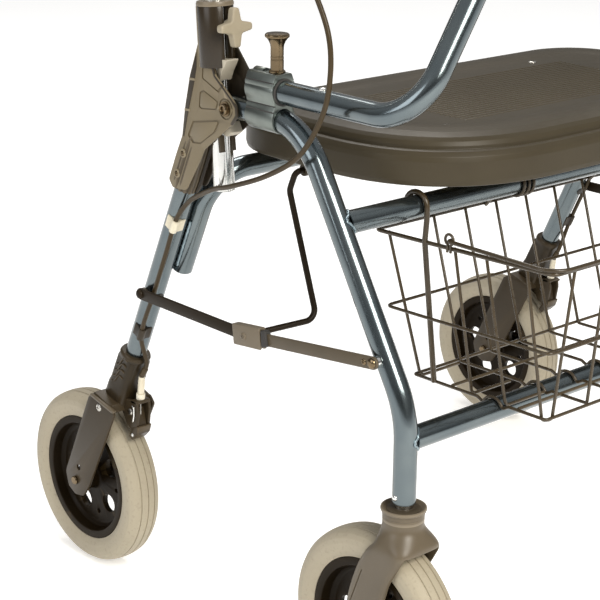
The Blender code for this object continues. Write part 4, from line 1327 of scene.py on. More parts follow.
def shell_edges(name, side, hand, label, material):
    """The shell's ribbed rear margin, its dark front rim and a band round the sleeve."""
    face = hand * SHELL_OUTER
    margin = [
        (0.029, 0.6175), (0.039, 0.5925), (0.0476, 0.559), (0.0522, 0.531), (0.05, 0.53),
        (0.0428, 0.556), (0.0326, 0.588), (0.029, 0.602),
    ]
    recess = slab(
        "recess", margin, *span(side, face - hand * 0.001, face + hand * 0.0003), edge=0.0002
    )
    rim = [
        (0.0158, 0.63), (0.0095, 0.618), (0.0008, 0.5982), (-0.0245, 0.5792), (-0.0318, 0.5726),
        (-0.0326, 0.564), (-0.0243, 0.5538), (-0.0218, 0.5552), (-0.0296, 0.565),
        (-0.0288, 0.5716), (-0.0228, 0.5776), (0.0028, 0.5968), (0.012, 0.618),
    ]
    edge = slab("rim", rim, *span(side, face - hand * 0.0016, face + hand * 0.0002), edge=0.0003)
    finish(
        gather(f"shell_margin_{label}_{name}", [recess, edge]),
        "shell_dark",
        "rear_frame",
    )
    ribs = []
    for y, z in ((0.0372, 0.5896), (0.0452, 0.558)):
        rib = [
            (y + 0.0034, z - 0.0016), (y - 0.0052, z - 0.001), (y - 0.0052, z + 0.0014),
            (y + 0.003, z + 0.001),
        ]
        ribs.append(
            slab("rib", rib, *span(side, face - hand * 0.0006, face + hand * 0.0006), edge=0.0003)
        )
    ribs.append(sleeve_half(side, hand, 0.0172, 0.0182, 118, 176))
    finish(gather(f"shell_ribs_{label}_{name}", ribs), material, "rear_frame")
    band = sleeve_half(side, hand, SLEEVE_RADIUS, 0.0185, 130, 146)
    band.name = f"sleeve_band_{label}_{name}"
    finish(band, "fork", "rear_frame")


def clamp_flutes(name, side, hand, label, material):
    """The shell's fluted half-round that grips the rear leg below the fan."""
    start, end = (on_side(side, 0, (rear_leg_y(height), height)) for height in (0.532, 0.4745))
    axes = side_frame(side, hand, start, end)
    section = []
    for step in range(49):
        angle = math.radians(4 + 172 * step / 48)
        radius = 0.0148 + 0.0007 * math.cos(angle * 16)
        section.append((radius * math.cos(angle), radius * math.sin(angle)))
    section += arc((0, 0), 0.0117, 176, 4, 24)
    rings = []
    for index in range(7):
        share = index / 6
        tuck = 0.0012 * (1 - min(1, share * 5)) + 0.001 * max(0, share * 6 - 5)
        ring = []
        for across, rise in section:
            reach = math.hypot(across, rise)
            scale = 1 - tuck / reach if reach > 0.0125 else 1
            ring.append((across * scale, rise * scale))
        rings.append(ring_points(start.lerp(end, share), axes, ring))
    flutes = stack(f"leg_clamp_{label}_{name}", rings, smooth=30)
    finish(flutes, material, "rear_frame")


def hinge_trim(name, side):
    """Between the shells: rear wall and ribs, front web, wedges and prongs, and the cap."""
    room = SHELL_INNER - 0.0003
    walls = []
    edge_line = [
        Vector(spot) for spot in ((0.0292, 0.619), (0.0402, 0.59), (0.0474, 0.56), (0.051, 0.537))
    ]
    for start, end in zip(edge_line, edge_line[1:]):
        direction = (end - start).normalized()
        inward = Vector((-direction.y, direction.x))
        if inward.x > 0:
            inward = -inward
        near, thickness = inward * 0.0042, inward * 0.0028
        wall = [
            start + near * 0.9,
            end + near * 0.9,
            end + thickness + near * 0.4,
            start + thickness + near * 0.4,
        ]
        walls.append(slab("wall", wall, *span(side, -room, room), edge=0.0002))
    finish(gather(f"hinge_wall_{name}", walls), "shell_dark", "rear_frame")
    room = SHELL_INNER - 0.0002
    ribs = []
    for y, z in ((0.0292, 0.619), (0.0402, 0.59), (0.0474, 0.56), (0.052, 0.533)):
        rib = [
            (y - 0.0001, z - 0.0007), (y - 0.0062, z - 0.0007), (y - 0.0062, z + 0.0007),
            (y - 0.0005, z + 0.0007),
        ]
        ribs.append(slab("rib", rib, *span(side, -room, room), edge=0.0002))
    finish(gather(f"hinge_ribs_{name}", ribs), "shell", "rear_frame")
    web = [
        (0.011, 0.629), (0.003, 0.627), (-0.0215, 0.6), (-0.029, 0.586), (-0.029, 0.574),
        (-0.018, 0.578), (0.006, 0.6),
    ]
    back = slab(
        f"hinge_web_{name}", fillet(web, 0.002, 3), *span(side, -0.0138, -0.0119), edge=0.0004
    )
    finish(back, "shell_dark", "rear_frame")
    upper = [(-0.009, 0.6135), (-0.0015, 0.601), (0.0032, 0.59), (0.006, 0.601), (0.009, 0.6125)]
    lower = [(-0.009, 0.5545), (-0.015, 0.544), (-0.0085, 0.5395), (-0.002, 0.541)]
    wedges = [
        slab("wedge", fillet(outline, 0.001, 3), *span(side, -0.0075, 0.0075), edge=0.0004)
        for outline in (upper, lower)
    ]
    finish(gather(f"post_wedges_{name}", wedges), "knob", "rear_frame")
    prong = [(-0.003, 0.54), (-0.005, 0.5235), (-0.002, 0.523), (0.0, 0.539)]
    prongs = [
        slab("prong", prong, *span(side, inner, outer), edge=0.0003)
        for inner, outer in ((0.006, 0.012), (-0.0075, -0.0035))
    ]
    finish(gather(f"post_prongs_{name}", prongs), "shell_dark", "rear_frame")
    top = on_side(side, 0, (post_y(SLEEVE_Z[1]), SLEEVE_Z[1]))
    along = (on_side(side, 0, (post_y(0.7), 0.7)) - top).normalized()
    bore = POST_RADIUS + 0.0004
    cap = [
        (bore, 0.0002), (0.0182, 0.0002), (0.0184, 0.002), (0.0176, 0.0044), (0.015, 0.0052),
        (bore, 0.0052),
    ]
    finish(lathe(f"sleeve_cap_{name}", cap, top, along, 64), "fork", "rear_frame")


def star_knob(name, side):
    """Four-armed clamping knob on a threaded boss."""
    centre = on_side(side, 0, (post_y(KNOB_Z), KNOB_Z))
    axis = Vector((0, -1, POST_SLOPE)).normalized()
    outline = []
    for arm in range(4):
        heading = math.radians(90 * arm)
        for turn, radius in ((-0.66, 0.0092), (-0.18, 0.0192), (0.18, 0.0192), (0.66, 0.0092)):
            outline.append((radius * math.cos(heading + turn), radius * math.sin(heading + turn)))
    star = slab(
        "star", fillet(outline, [0.004, 0.003, 0.003, 0.004] * 4, 5), 0.0238, 0.0326, "Z", 0.0016
    )
    profile = [
        (0, 0.0186), (0.0072, 0.0186), (0.0085, 0.024), (0.0085, 0.0318), (0.006, 0.0328),
        (0, 0.0328),
    ]
    hub = lathe("hub", profile, (0, 0, 0), Z_AXIS, 40)
    knob = gather(f"star_knob_{name}_finished", [star, hub])
    melt(knob, 0.0005, 5)
    knob.data.transform(axis.to_track_quat("Z", "Y").to_matrix().to_4x4())
    knob.data.transform(Matrix.Translation(centre))
    finish(knob, "star", f"star_knob_{name}", [f"star_knob_{name}"])
    stud = drill(centre, axis, 0.0032, 0.015, 0.019, 32)
    stud.name = f"knob_stud_{name}"
    finish(stud, "steel", f"star_knob_{name}")


for hinge_name, hinge_side in SIDES.items():
    hinge_block(hinge_name, hinge_side)
    plunger(hinge_name, hinge_side)
    pivot_bolt(hinge_name, hinge_side)
    hinge_shell(hinge_name, hinge_side, 1)
    hinge_shell(hinge_name, hinge_side, -1)
    hinge_trim(hinge_name, hinge_side)
    star_knob(hinge_name, hinge_side)


# Seat

SEAT_HALF_WIDTH = SEAT_HIGH.x
SEAT_SCREWS = [(-0.187, -0.149), (0.187, -0.149), (0.126, 0.019)]


def seat_ring(inset):
    """The seat's outline drawn in by the inset: a bowed front and round rear corners."""
    low_y, high_y = SEAT_LOW.y + inset, SEAT_HIGH.y - inset
    wide = SEAT_HALF_WIDTH - inset
    steps = 14
    across, along, rear = 0.18 - inset, 0.17 - inset, 0.085 - inset * 0.8
    outline = []
    for step in range(2 * steps):
        angle = math.radians(90 * step / (2 * steps - 1))
        reach = math.sin(angle) ** 0.8
        drop = max(0.0, math.cos(angle)) ** 0.8
        outline.append((wide - across + across * reach, low_y + along - along * drop))
    outline += arc((wide - rear, high_y - rear), rear, 0, 90, steps)
    return outline + [(-x, y) for x, y in reversed(outline)]


def seat():
    """Moulded seat: rolled skirt, a bead line, a rounded shoulder and a slightly dished top."""
    low, high = SEAT_LOW.z, SEAT_HIGH.z
    under = [
        (0.09, high - 0.0065), (0.03, high - 0.0065), (0.02, high - 0.012), (0.009, low + 0.006),
        (0.007, low + 0.0004),
    ]
    levels = fillet(under, 0.003, 3, closed=False)
    skirt = [
        (0.004, low), (0.001, low + 0.0012), (0.0, low + 0.0055), (0.0003, low + 0.024),
        (0.0014, low + 0.029), (0.0048, low + 0.0332), (0.0088, low + 0.0344),
        (0.0106, low + 0.0332), (0.0116, low + 0.034), (0.012, low + 0.037), (0.014, low + 0.041),
        (0.0185, low + 0.044), (0.03, high - 0.001), (0.043, high), (0.05, high - 0.0001),
    ]
    levels += fillet(skirt, 0.0016, 3, closed=False)
    levels += [
        (0.056, high - 0.0003), (0.06, high - 0.0011), (0.064, high - 0.0016),
        (0.08, high - 0.0018), (0.095, high - 0.002),
    ]
    rings = [[(x, y, height) for x, y in seat_ring(inset)] for inset, height in levels]
    finish(stack("seat_shell", rings, smooth=40), "seat", "seat", ["seat"])
    seat_details(high)


def seat_details(high):
    """Grip ribs and screws on top of the seat; clamps and stiffening ribs under it."""
    ribs = []
    for index in range(22):
        y = -0.142 + index * 0.0068
        rib = [
            (y - 0.001, high - 0.0032), (y + 0.001, high - 0.0032), (y + 0.0005, high - 0.0014),
            (y - 0.0005, high - 0.0014),
        ]
        ribs.append(slab("rib", rib, -0.155, 0.155, "X", 0.0003))
    finish(gather("seat_grip_ribs", ribs), "seat", "seat")
    for index, (x, y) in enumerate(SEAT_SCREWS):
        inset = min(SEAT_HALF_WIDTH - abs(x), y - SEAT_LOW.y, SEAT_HIGH.y - y)
        level = high - (0.0021 if inset > 0.06 else 0.0004)
        head = pan_head(f"seat_screw_{index}", (x, y, level), Z_AXIS, 0.005, 0.0018)
        finish(head, "steel", "seat")
    for index, x in enumerate((-0.165, 0.165)):
        saddle = arc(UPPER_TUBE, TUBE_RADIUS + 0.0006, 5, 104, 14) + arc(
            UPPER_TUBE, 0.0155, 104, 5, 14
        )
        clip = slab(f"seat_saddle_{index}", saddle, x - 0.014, x + 0.014, "X", 0.0005)
        low_corner = (x - 0.012, UPPER_TUBE[0] - 0.01, UPPER_TUBE[1] + 0.015)
        post = block("post", low_corner, (x + 0.012, UPPER_TUBE[0] + 0.01, high - 0.0075))
        finish(union(clip, post), "seat", "seat")
    stiffeners = []
    for x in (-0.24, -0.16, -0.08, 0.0, 0.08, 0.16, 0.24):
        reach = 0.118 if abs(x) < 0.2 else 0.092
        low_corner, high_corner = (x - 0.0012, -0.063 - reach, high - 0.03), (
            x + 0.0012, -0.063 + reach, high - 0.0062
        )
        stiffeners.append(block("stiffener", low_corner, high_corner, 0.0003))
    finish(gather("seat_underside_ribs", stiffeners), "seat", "seat")


seat()


# Basket

WIRE = 0.0016
RIM_WIRE = 0.0021
PANEL_X = BASKET_HIGH.x - 0.0018
FRONT_Y = BASKET_LOW.y + 0.0018
RIM = ((-0.106, 0.449), (FRONT_Y, 0.457))
MIDDLE = ((-0.124, 0.375), (FRONT_Y + 0.001, 0.382))
BOTTOM = ((-0.15, 0.3065), (FRONT_Y + 0.014, 0.3105))
LOW_X = PANEL_X - 0.016


def level_ring(name, rear_front, radius):
    """A wire all round the basket, level across it, with rounded corners."""
    rear, front = rear_front
    order = ((-1, rear), (-1, front), (1, front), (1, rear))
    corners = [Vector((hand * PANEL_X, *spot)) for hand, spot in order]
    points = []
    for index, corner in enumerate(corners):
        start, end = (
            corner + (other - corner).normalized() * 0.0085
            for other in (corners[index - 1], corners[(index + 1) % 4])
        )
        for t in (0, 0.2, 0.4, 0.6, 0.8, 1):
            points.append(start * (1 - t) ** 2 + corner * 2 * t * (1 - t) + end * t**2)
    return bar(name, points, radius, 14, closed=True)


def over_tube(x):
    """Points of a floor wire's hump over the lower cross tube, from its rear to its front."""
    humps = arc(LOWER_TUBE, TUBE_RADIUS + WIRE + 0.0003, 20, 160, 10)
    rear = along_side(BOTTOM, (BOTTOM[0][0] - LOWER_TUBE[0] - 0.02) / (BOTTOM[0][0] - BOTTOM[1][0]))
    front = along_side(
        BOTTOM, (BOTTOM[0][0] - LOWER_TUBE[0] + 0.02) / (BOTTOM[0][0] - BOTTOM[1][0])
    )
    return [(x, *rear), *((x, y, z) for y, z in humps), (x, *front)]


def along_side(rear_front, share):
    """(y, z) on a ring's side at a share of the way from its rear to its front."""
    rear, front = (Vector(spot) for spot in rear_front)
    return rear.lerp(front, share)


def wire(points, radius=WIRE, bend=0.006):
    """A bent wire through the points."""
    corners = [Vector(point) for point in points]
    return bar(
        "wire", bent_path(corners, [bend] * (len(corners) - 2), math.radians(15)), radius, 12
    )


def basket():
    """Welded wire basket hung on the upper cross tube and hooked over the lower one."""
    wires = [level_ring("rim", RIM, RIM_WIRE), level_ring("middle", MIDDLE, WIRE)]
    inset = 2 * WIRE
    rear_top, front_top = RIM
    rear_low, front_low = BOTTOM
    first = PANEL_X - 0.032
    floor_ring = [
        (0, *rear_low), (-LOW_X, *rear_low), *over_tube(-LOW_X), (-LOW_X, *front_low),
        (LOW_X, *front_low), *reversed(over_tube(LOW_X)), (LOW_X, *rear_low), (0, *rear_low),
    ]
    wires.append(wire(floor_ring, WIRE, 0.003))
    for side in SIDES.values():
        x_top, x_low = side * (PANEL_X - inset + 0.0004), side * (LOW_X - inset)
        for top_share, low_share in ((0.07, 0.03), (0.456, 0.437), (0.63, 0.69)):
            high, low = along_side(RIM, top_share), along_side(BOTTOM, low_share)
            foot = low.y - 0.0012
            route = [
                (x_top, high.x, high.y + 0.001), (x_low, low.x, foot),
                (x_low - side * 0.055, low.x, foot),
            ]
            wires.append(wire(route))
        high, low = along_side(RIM, 0.846), along_side(BOTTOM, 0.955)
        foot = low.y - 0.0034
        route = [
            (x_top, high.x, high.y + 0.001), (x_low, low.x, foot),
            (side * (LOW_X - 0.012), front_low[0] + inset, foot),
            (side * first, front_top[0] + inset, front_top[1] + 0.001),
        ]
        wires.append(wire(route, bend=0.0035))
    count = 8
    for index in range(count):
        x = (index / (count - 1) * 2 - 1) * (first - 0.046)
        rear_high = (x, rear_top[0] - inset, rear_top[1] + 0.001)
        rear_foot = (x, rear_low[0] - 0.004, rear_low[1])
        front_foot = (x, front_low[0] + inset, front_low[1])
        front_high = (x, front_top[0] + inset, front_top[1] + 0.001)
        wires.append(
            wire([rear_high, rear_foot, *over_tube(x), front_foot, front_high], WIRE, 0.003)
        )
    for share in (0.3, 0.8):
        low = along_side(BOTTOM, share)
        wires.append(wire([(-LOW_X, low.x, low.y + WIRE), (LOW_X, low.x, low.y + WIRE)]))
    for side in SIDES.values():
        wires += basket_fittings(side)
    finish(gather("basket_wires", wires), "wire", "basket", ["basket"])


def basket_fittings(side):
    """One side's hanger over the upper tube, the wraps with their tail, and the bail's eye."""
    y, z = UPPER_TUBE
    reach = TUBE_RADIUS + 0.003
    x = side * (PANEL_X + 0.0006)
    hanger = [(side * (LOW_X + 0.003), -0.18, 0.3075), (x, -0.1745, 0.452), (x, y - reach, 0.474)]
    hanger += [(x, *spot) for spot in arc(UPPER_TUBE, reach, 185, -20, 12)]
    wires = [bar("hanger", hanger, 0.0028, 18)]
    loop = arc(UPPER_TUBE, TUBE_RADIUS + 0.0019, 0, 345, 24)
    for x in (0.1, 0.093, 0.086):
        wires.append(bar("wrap", [(side * x, *spot) for spot in loop], 0.0017, 12, closed=True))
    x = side * 0.083
    wires.append(
        wire([(x, y + 0.0135, z - 0.002), (x, -0.125, 0.465), (x, -0.1085, 0.447)], 0.0019)
    )
    x = side * (PANEL_X + 0.0026)
    y, z = BAIL_EYE
    eye = [(x, *spot) for spot in arc((y, z + 0.0012), 0.0052, -70, 250, 20)]
    return wires + [bar("eye", [(x, y + 0.0022, 0.449), *eye, (x, y - 0.0022, 0.449)], 0.0014, 12)]


def basket_bail():
    """Wire handle hooked through the eyes on the side rims; it rests on the front rim."""
    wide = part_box("basket_bail")[1].x - 0.002
    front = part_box("basket_bail")[0].y + 0.002
    y, z = BAIL_EYE
    corners = [
        (-wide + 0.007, y, z), (-wide, y, z), (-wide, front, z), (wide, front, z), (wide, y, z),
        (wide - 0.007, y, z),
    ]
    bail = bar(
        "basket_bail_wire",
        bent_path(corners, [0.003, 0.022, 0.022, 0.003], math.radians(8)),
        0.002,
        20,
    )
    finish(bail, "wire", "basket_bail", ["basket_bail"])


basket()
basket_bail()


# Side braces and seat rods


def knee_frame():
    """Turn from the knee block's own axes, along and across the front bar, to the side view."""
    heading = math.atan2(BRACE_KNEE[1] - BRACE_FRONT[1], BRACE_KNEE[0] - BRACE_FRONT[0])
    turn = Matrix.Rotation(heading, 2)
    return lambda along, across: tuple(turn @ Vector((along, across)) + Vector(BRACE_KNEE))


def brace_bar(side, start, end):
    """Flat bar with round ends and rolled edges."""
    low, high = span(side, BRACE_INNER, BRACE_INNER + BRACE_THICKNESS)
    return slab("bar", strap_outline(start, end, BRACE_HALF_HEIGHT, 14), low, high, edge=0.0009)


def brace_knee(name, side, body):
    """Channel over the joint of the two bars, its rubber end pad, and a screw and rivet."""
    inner, outer = BRACE_INNER, BRACE_INNER + BRACE_THICKNESS
    place = knee_frame()

    def knee_slab(corners, radius, low, high, edge):
        outline = fillet([place(*corner) for corner in corners], radius, 4)
        return slab("plate", outline, *span(side, low, high), edge=edge)

    cover = [(-0.025, -0.0105), (0.0165, -0.01), (0.0165, 0.0112), (-0.025, 0.0112)]
    web = [(-0.0245, 0.0088), (0.0165, 0.0088), (0.0165, 0.011), (-0.0245, 0.011)]
    parts = [
        knee_slab(cover, 0.0022, outer + 0.0004, outer + 0.0026, 0.0008),
        knee_slab(cover, 0.0022, inner - 0.0026, inner - 0.0004, 0.0005),
        knee_slab(web, 0.0008, inner - 0.0024, outer + 0.0024, 0.0006),
    ]
    finish(gather(f"brace_knee_cover_{name}", parts), "fork", body)
    pad = [(-0.0345, -0.0062), (-0.0262, -0.0074), (-0.0262, 0.0098), (-0.033, 0.0088)]
    parts = [knee_slab(pad, 0.002, inner - 0.0022, outer + 0.0024, 0.0008)]
    finish(gather(f"brace_knee_pad_{name}", parts), "rubber", body)
    for part, face, facing, height in (
        ("screw", outer + 0.0025, side, 0.0018),
        ("rivet", inner - 0.0025, -side, 0.0016),
    ):
        spot = on_side(side, face, BRACE_KNEE)
        head = pan_head(f"brace_knee_{part}_{name}", spot, (facing, 0, 0), 0.004, height)
        finish(head, "fork", body)


def braces(name, side):
    """One side's folding brace: its two bars, the knee between them, and their bolts."""
    outer = BRACE_INNER + BRACE_THICKNESS
    outwards = (side, 0, 0)
    neck = Vector(BRACE_KNEE) + (Vector(BRACE_FRONT) - Vector(BRACE_KNEE)).normalized() * 0.013
    washer = [(0, 0.0108), (0.0046, 0.0108), (0.0058, 0.0124), (0.0058, 0.0158), (0, 0.0158)]
    dome = [(0, -0.0001), (0.0048, -0.0001), (0.005, 0.0004), (0.0046, 0.0016), (0.0034, 0.0025)]
    dome = [(radius, outer + along) for radius, along in dome + [(0.0018, 0.0029), (0, 0.003)]]
    front, rear = f"brace_front_{name}", f"brace_rear_{name}"
    for body, ends, look in (
        (front, (BRACE_FRONT, tuple(neck)), "brace"),
        (rear, (BRACE_KNEE, BRACE_REAR), "rod"),
    ):
        flat = gather(f"{body}_bar", [brace_bar(side, *ends)])
        finish(flat, look, body, [body])
    brace_knee(name, side, front)
    for label, body, spot, looks in (
        ("front", front, BRACE_FRONT, ("polished", "bronze_steel")),
        ("rear", rear, BRACE_REAR, ("shell_dark", "rod")),
    ):
        for part, profile, look in zip(("spacer", "bolt"), (washer, dome), looks):
            centre = on_side(side, 0, spot)
            piece = lathe(f"brace_{part}_{label}_{name}", profile, centre, outwards, 40)
            finish(piece, look, body)
    screw = Vector(BRACE_FRONT).lerp(Vector(BRACE_KNEE), 0.06)
    spot = on_side(side, outer - 0.0002, screw)
    head = pan_head(f"brace_bar_screw_{name}", spot, outwards, 0.0032, 0.0014)
    finish(head, "bronze_steel", front)
    seat_rod(name, side)


def seat_rod(name, side):
    """Bent wire from the knee up to an eye under the seat, with a bushing and a retaining clip."""
    inset = -0.058
    corners = [
        on_side(side, BRACE_INNER - 0.004, BRACE_KNEE),
        on_side(side, inset - 0.004, (BRACE_KNEE[0] - 0.014, BRACE_KNEE[1] + 0.0035)),
        on_side(side, inset, (-0.026, 0.479)),
        on_side(side, inset, SEAT_ROD_TOP),
        on_side(side, inset - 0.03, SEAT_ROD_TOP),
    ]
    body = f"seat_rod_{name}"
    rod = bar(
        f"{body}_wire", bent_path(corners, [0.012, 0.012, 0.006], math.radians(5)), 0.0031, 24
    )
    finish(rod, "rod", body, [body])
    bush = [
        (0.0032, 0), (0.006, 0), (0.0062, 0.0006), (0.0062, 0.0044), (0.006, 0.005),
        (0.0032, 0.005),
    ]
    for index, along in enumerate((0.01, 0.022)):
        centre = on_side(side, inset - along, SEAT_ROD_TOP)
        piece = lathe(f"seat_rod_bush_{name}_{index}", bush, centre, (-side, 0, 0), 32)
        finish(piece, "shell_dark", body)


for brace_name, brace_side in SIDES.items():
    braces(brace_name, brace_side)


# Rear leg brackets, brakes and cables

ADJUSTER = ((0.1512, 0.218), (0.148, 0.245))
CABLE_ON_LEG = (0.3, 0.35, 0.4, 0.44)
CABLE_OUTBOARD = 0.0106
CABLE_LOOP = [
    (0.0112, (0.048, 0.463)),
    (0.014, (0.025, 0.476)),
    (0.02, (-0.005, 0.489)),
    (0.026, (-0.0371, 0.499)),
    (0.027, (-0.0884, 0.519)),
    (0.027, (-0.1317, 0.544)),
    (0.027, (-0.1582, 0.5755)),
    (0.027, (-0.1733, 0.6095)),
    (0.027, (-0.175, 0.653)),
    (0.027, (-0.1582, 0.6907)),
    (0.026, (-0.118, 0.742)),
    (0.023, (-0.07, 0.785)),
    (0.0195, (-0.015, 0.817)),
    (0.0175, (0.03, 0.834)),
    (0.008, (0.058, 0.843)),
    (0.0, (0.0745, 0.847)),
]
CABLE_RADIUS = 0.0025
STRAP_OUTLINE = [
    (0.169, 0.2105), (0.2013, 0.2165), (0.21, 0.2105), (0.26, 0.105), (0.255, 0.088),
    (0.242, 0.0815), (0.2262, 0.0845), (0.214, 0.101), (0.162, 0.203),
]
STRAP_ROUNDING = [0.003, 0.005, 0.006, 0.012, 0.008, 0.01, 0.008, 0.01, 0.004]


def leg_socket(side):
    """Squared socket on the rear leg's end, with a flared mouth."""
    mouth, low = (on_side(side, 0, (rear_leg_y(height), height)) for height in (0.272, 0.2085))
    levels = [
        (0.0, 0.0146), (0.02, 0.0156), (0.05, 0.0162), (0.09, 0.0154), (0.14, 0.0146),
        (0.6, 0.015), (0.7, 0.016), (0.96, 0.0164), (1.0, 0.0156),
    ]

    def section(index):
        half = levels[index][1]
        return squared_ring(half, half, 0.85 if index < 4 else 0.45, 64)

    return loft("socket", [mouth.lerp(low, share) for share, _ in levels], section, smooth=50)


def socket_ribs(name, side):
    """Wavy ribs on the socket's outer face."""
    ribs = []
    for index in range(4):
        height = 0.264 - 0.0075 * index
        points = []
        for step in range(17):
            share = step / 16
            spot = (
                rear_leg_y(height) - 0.008 + 0.02 * share,
                height + 0.0035 * math.sin(share * 5.5) - 0.004 * share,
            )
            points.append(on_side(side, 0.015, spot))
        ribs.append(bar("rib", points, 0.001, 10))
    finish(gather(f"socket_ribs_{name}", ribs), "paint", "rear_frame")


def leg_bracket(name, side):
    """Socket on the rear leg's foot with two straps down to the rear axle."""
    parts = [leg_socket(side)]
    outwards = (side, 0, 0)
    for inner, outer in ((0.025, 0.028), (-0.028, -0.025)):
        strap = slab(
            "strap",
            fillet(STRAP_OUTLINE, STRAP_ROUNDING, 5),
            *span(side, inner, outer),
            edge=0.0008,
        )
        cut(strap, drill(on_side(side, inner, (0.2337, 0.1175)), outwards, 0.0036, -0.02, 0.02, 24))
        parts.append(strap)
    edge = [
        (0.199, 0.2168), (0.203, 0.2168), (0.2044, 0.214), (0.164, 0.2052), (0.1604, 0.2056),
        (0.1596, 0.2084),
    ]
    flange = slab(f"bracket_flange_{name}", edge, *span(side, 0.0262, 0.0304), edge=0.0008)
    finish(flange, "brace", "rear_frame")
    bridge = [(0.167, 0.201), (0.19, 0.2075), (0.205, 0.213), (0.1985, 0.2195), (0.1705, 0.2108)]
    parts.append(
        slab("bridge", fillet(bridge, 0.002, 3), *span(side, -0.0275, 0.0275), edge=0.0006)
    )
    piece = gather(f"leg_bracket_{name}_finished", parts)
    finish(piece, "paint", "rear_frame", [f"leg_bracket_{name}"])
    for index, (inner, outer) in enumerate(((0.0057, 0.0092), (-0.0092, -0.0057))):
        cheek = [
            (0.174, 0.216), (0.15, 0.218), (0.145, 0.214), (0.144, 0.206), (0.1475, 0.185),
            (0.153, 0.18), (0.165, 0.187), (0.1735, 0.201),
        ]
        piece = slab(
            f"brake_cheek_{name}_{index}",
            fillet(cheek, 0.003, 4),
            *span(side, inner, outer),
            edge=0.0006,
        )
        finish(piece, "paint", "rear_frame")
    saddle = fillet(
        [(0.145, 0.2148), (0.157, 0.214), (0.1575, 0.2176), (0.1455, 0.2186)], 0.0008, 3
    )
    saddle = slab(f"adjuster_saddle_{name}", saddle, *span(side, -0.0092, 0.0092), edge=0.0005)
    finish(saddle, "paint", "rear_frame")
    screw = pan_head(
        f"strap_screw_{name}", on_side(side, 0.0279, (0.19, 0.2035)), outwards, 0.0044, 0.0018
    )
    finish(screw, "steel", "rear_frame")


def brake(name, side):
    """Brake lever between the cheeks, its shoe, its pivot pin and the wire return spring."""
    body = f"brake_arm_{name}"
    outwards = (side, 0, 0)
    arm = slab(
        "arm",
        strap_outline(BRAKE_PIVOT, (0.152, 0.185), 0.005, 12),
        *span(side, -0.0053, 0.0053),
        edge=0.0008,
    )
    shoe = fillet(
        [(0.144, 0.1895), (0.1545, 0.1865), (0.1612, 0.1745), (0.1565, 0.1705), (0.1478, 0.179)],
        0.0015,
        4,
    )
    shoe_piece = slab("shoe", shoe, *span(side, -0.0095, 0.0095), edge=0.0009)
    finish(gather(f"{body}_finished", [arm, shoe_piece]), "paint", body, [body])
    bolt = pan_head(
        f"shoe_bolt_{name}",
        on_side(side, 0.0094, (0.1545, 0.1775)),
        outwards,
        0.0022,
        0.0014,
        "hex",
    )
    finish(bolt, "polished", body)
    profile = [
        (0, -0.0114), (0.003, -0.0112), (0.0038, -0.01), (0.0036, -0.0088), (0.0024, -0.0088),
        (0.0024, 0.0088), (0.0036, 0.0088), (0.0038, 0.01), (0.003, 0.0112), (0, 0.0114),
    ]
    piece = lathe(f"brake_pin_{name}", profile, on_side(side, 0, BRAKE_PIVOT), X_AXIS, 32)
    finish(piece, "steel", "rear_frame")
    spring = [
        on_side(side, 0.0102, (0.153, 0.212)),
        on_side(side, 0.0104, (0.1495, 0.2105)),
        on_side(side, 0.0104, (0.1495, 0.202)),
        on_side(side, 0.0104, (0.151, 0.195)),
        on_side(side, 0.0098, (0.153, 0.193)),
    ]
    piece = bar(
        f"brake_spring_{name}",
        bent_path(spring, [0.002, 0.003, 0.002], math.radians(10)),
        0.0009,
        12,
    )
    finish(piece, "polished", "rear_frame")
    tail = [on_side(side, 0.0, (0.1512, 0.2175)), on_side(side, 0.0, (0.152, 0.19))]
    piece = bar(f"brake_wire_{name}", tail, 0.0009, 12)
    finish(piece, "steel", body)


def adjuster(name, side):
    """Threaded barrel with a locknut, a knurled ring and the cable's ferrule."""
    base, top = (on_side(side, 0, spot) for spot in ADJUSTER)
    axis = top - base
    length = axis.length
    barrel = [(0, -0.0016), (0.003, -0.0016)]
    for turn in range(8):
        barrel += [(0.0034, -0.0014 + turn * 0.001), (0.003, -0.0009 + turn * 0.001)]
    barrel += [
        (0.0032, 0.0072), (0.0037, 0.0074), (0.0037, length - 0.004), (0.0035, length - 0.0034),
        (0.0035, length), (0, length),
    ]
    node = f"cable_adjuster_{name}"
    finish(
        lathe(f"{node}_finished", barrel, base, axis, 40),
        "cream",
        "rear_frame",
        [node],
    )
    knurl = []
    for step in range(72):
        angle = math.tau * step / 72
        radius = 0.0047 + (0.00022 if step % 2 else 0)
        knurl.append((radius * math.cos(angle), radius * math.sin(angle)))
    ring = slab(f"adjuster_ring_{name}", knurl, 0.0004, 0.0072, "Z", 0.0003)
    turn = axis.to_track_quat("Z", "Y").to_matrix().to_4x4()
    ring.data.transform(Matrix.Translation(base) @ turn)
    finish(ring, "cream", "rear_frame")


def cable_clip(name, side, index, height, material):
    """Saddle that holds the cable against the front of the rear leg."""
    leg = on_side(side, 0, (rear_leg_y(height), height))
    above = on_side(side, 0, (rear_leg_y(height + 0.01), height + 0.01))
    along = (above - leg).normalized()
    axes = side_frame(side, 1, leg, above)
    saddle = TUBE_RADIUS + 0.0012
    outline = arc((CABLE_OUTBOARD, 0.0106), CABLE_RADIUS + 0.0015, -62, 152, 24)
    outline += arc((0, 0), saddle, 82, 96, 5) + arc((0, 0), TUBE_RADIUS - 0.0006, 96, -6, 16)
    outline += arc((0, 0), saddle, -6, 8, 5)
    rings = [ring_points(leg + along * step, axes, outline) for step in (-0.007, 0.007)]
    clip = bevel(stack(f"cable_clip_{name}_{index}", rings), 0.0006)
    finish(clip, material, "rear_frame")


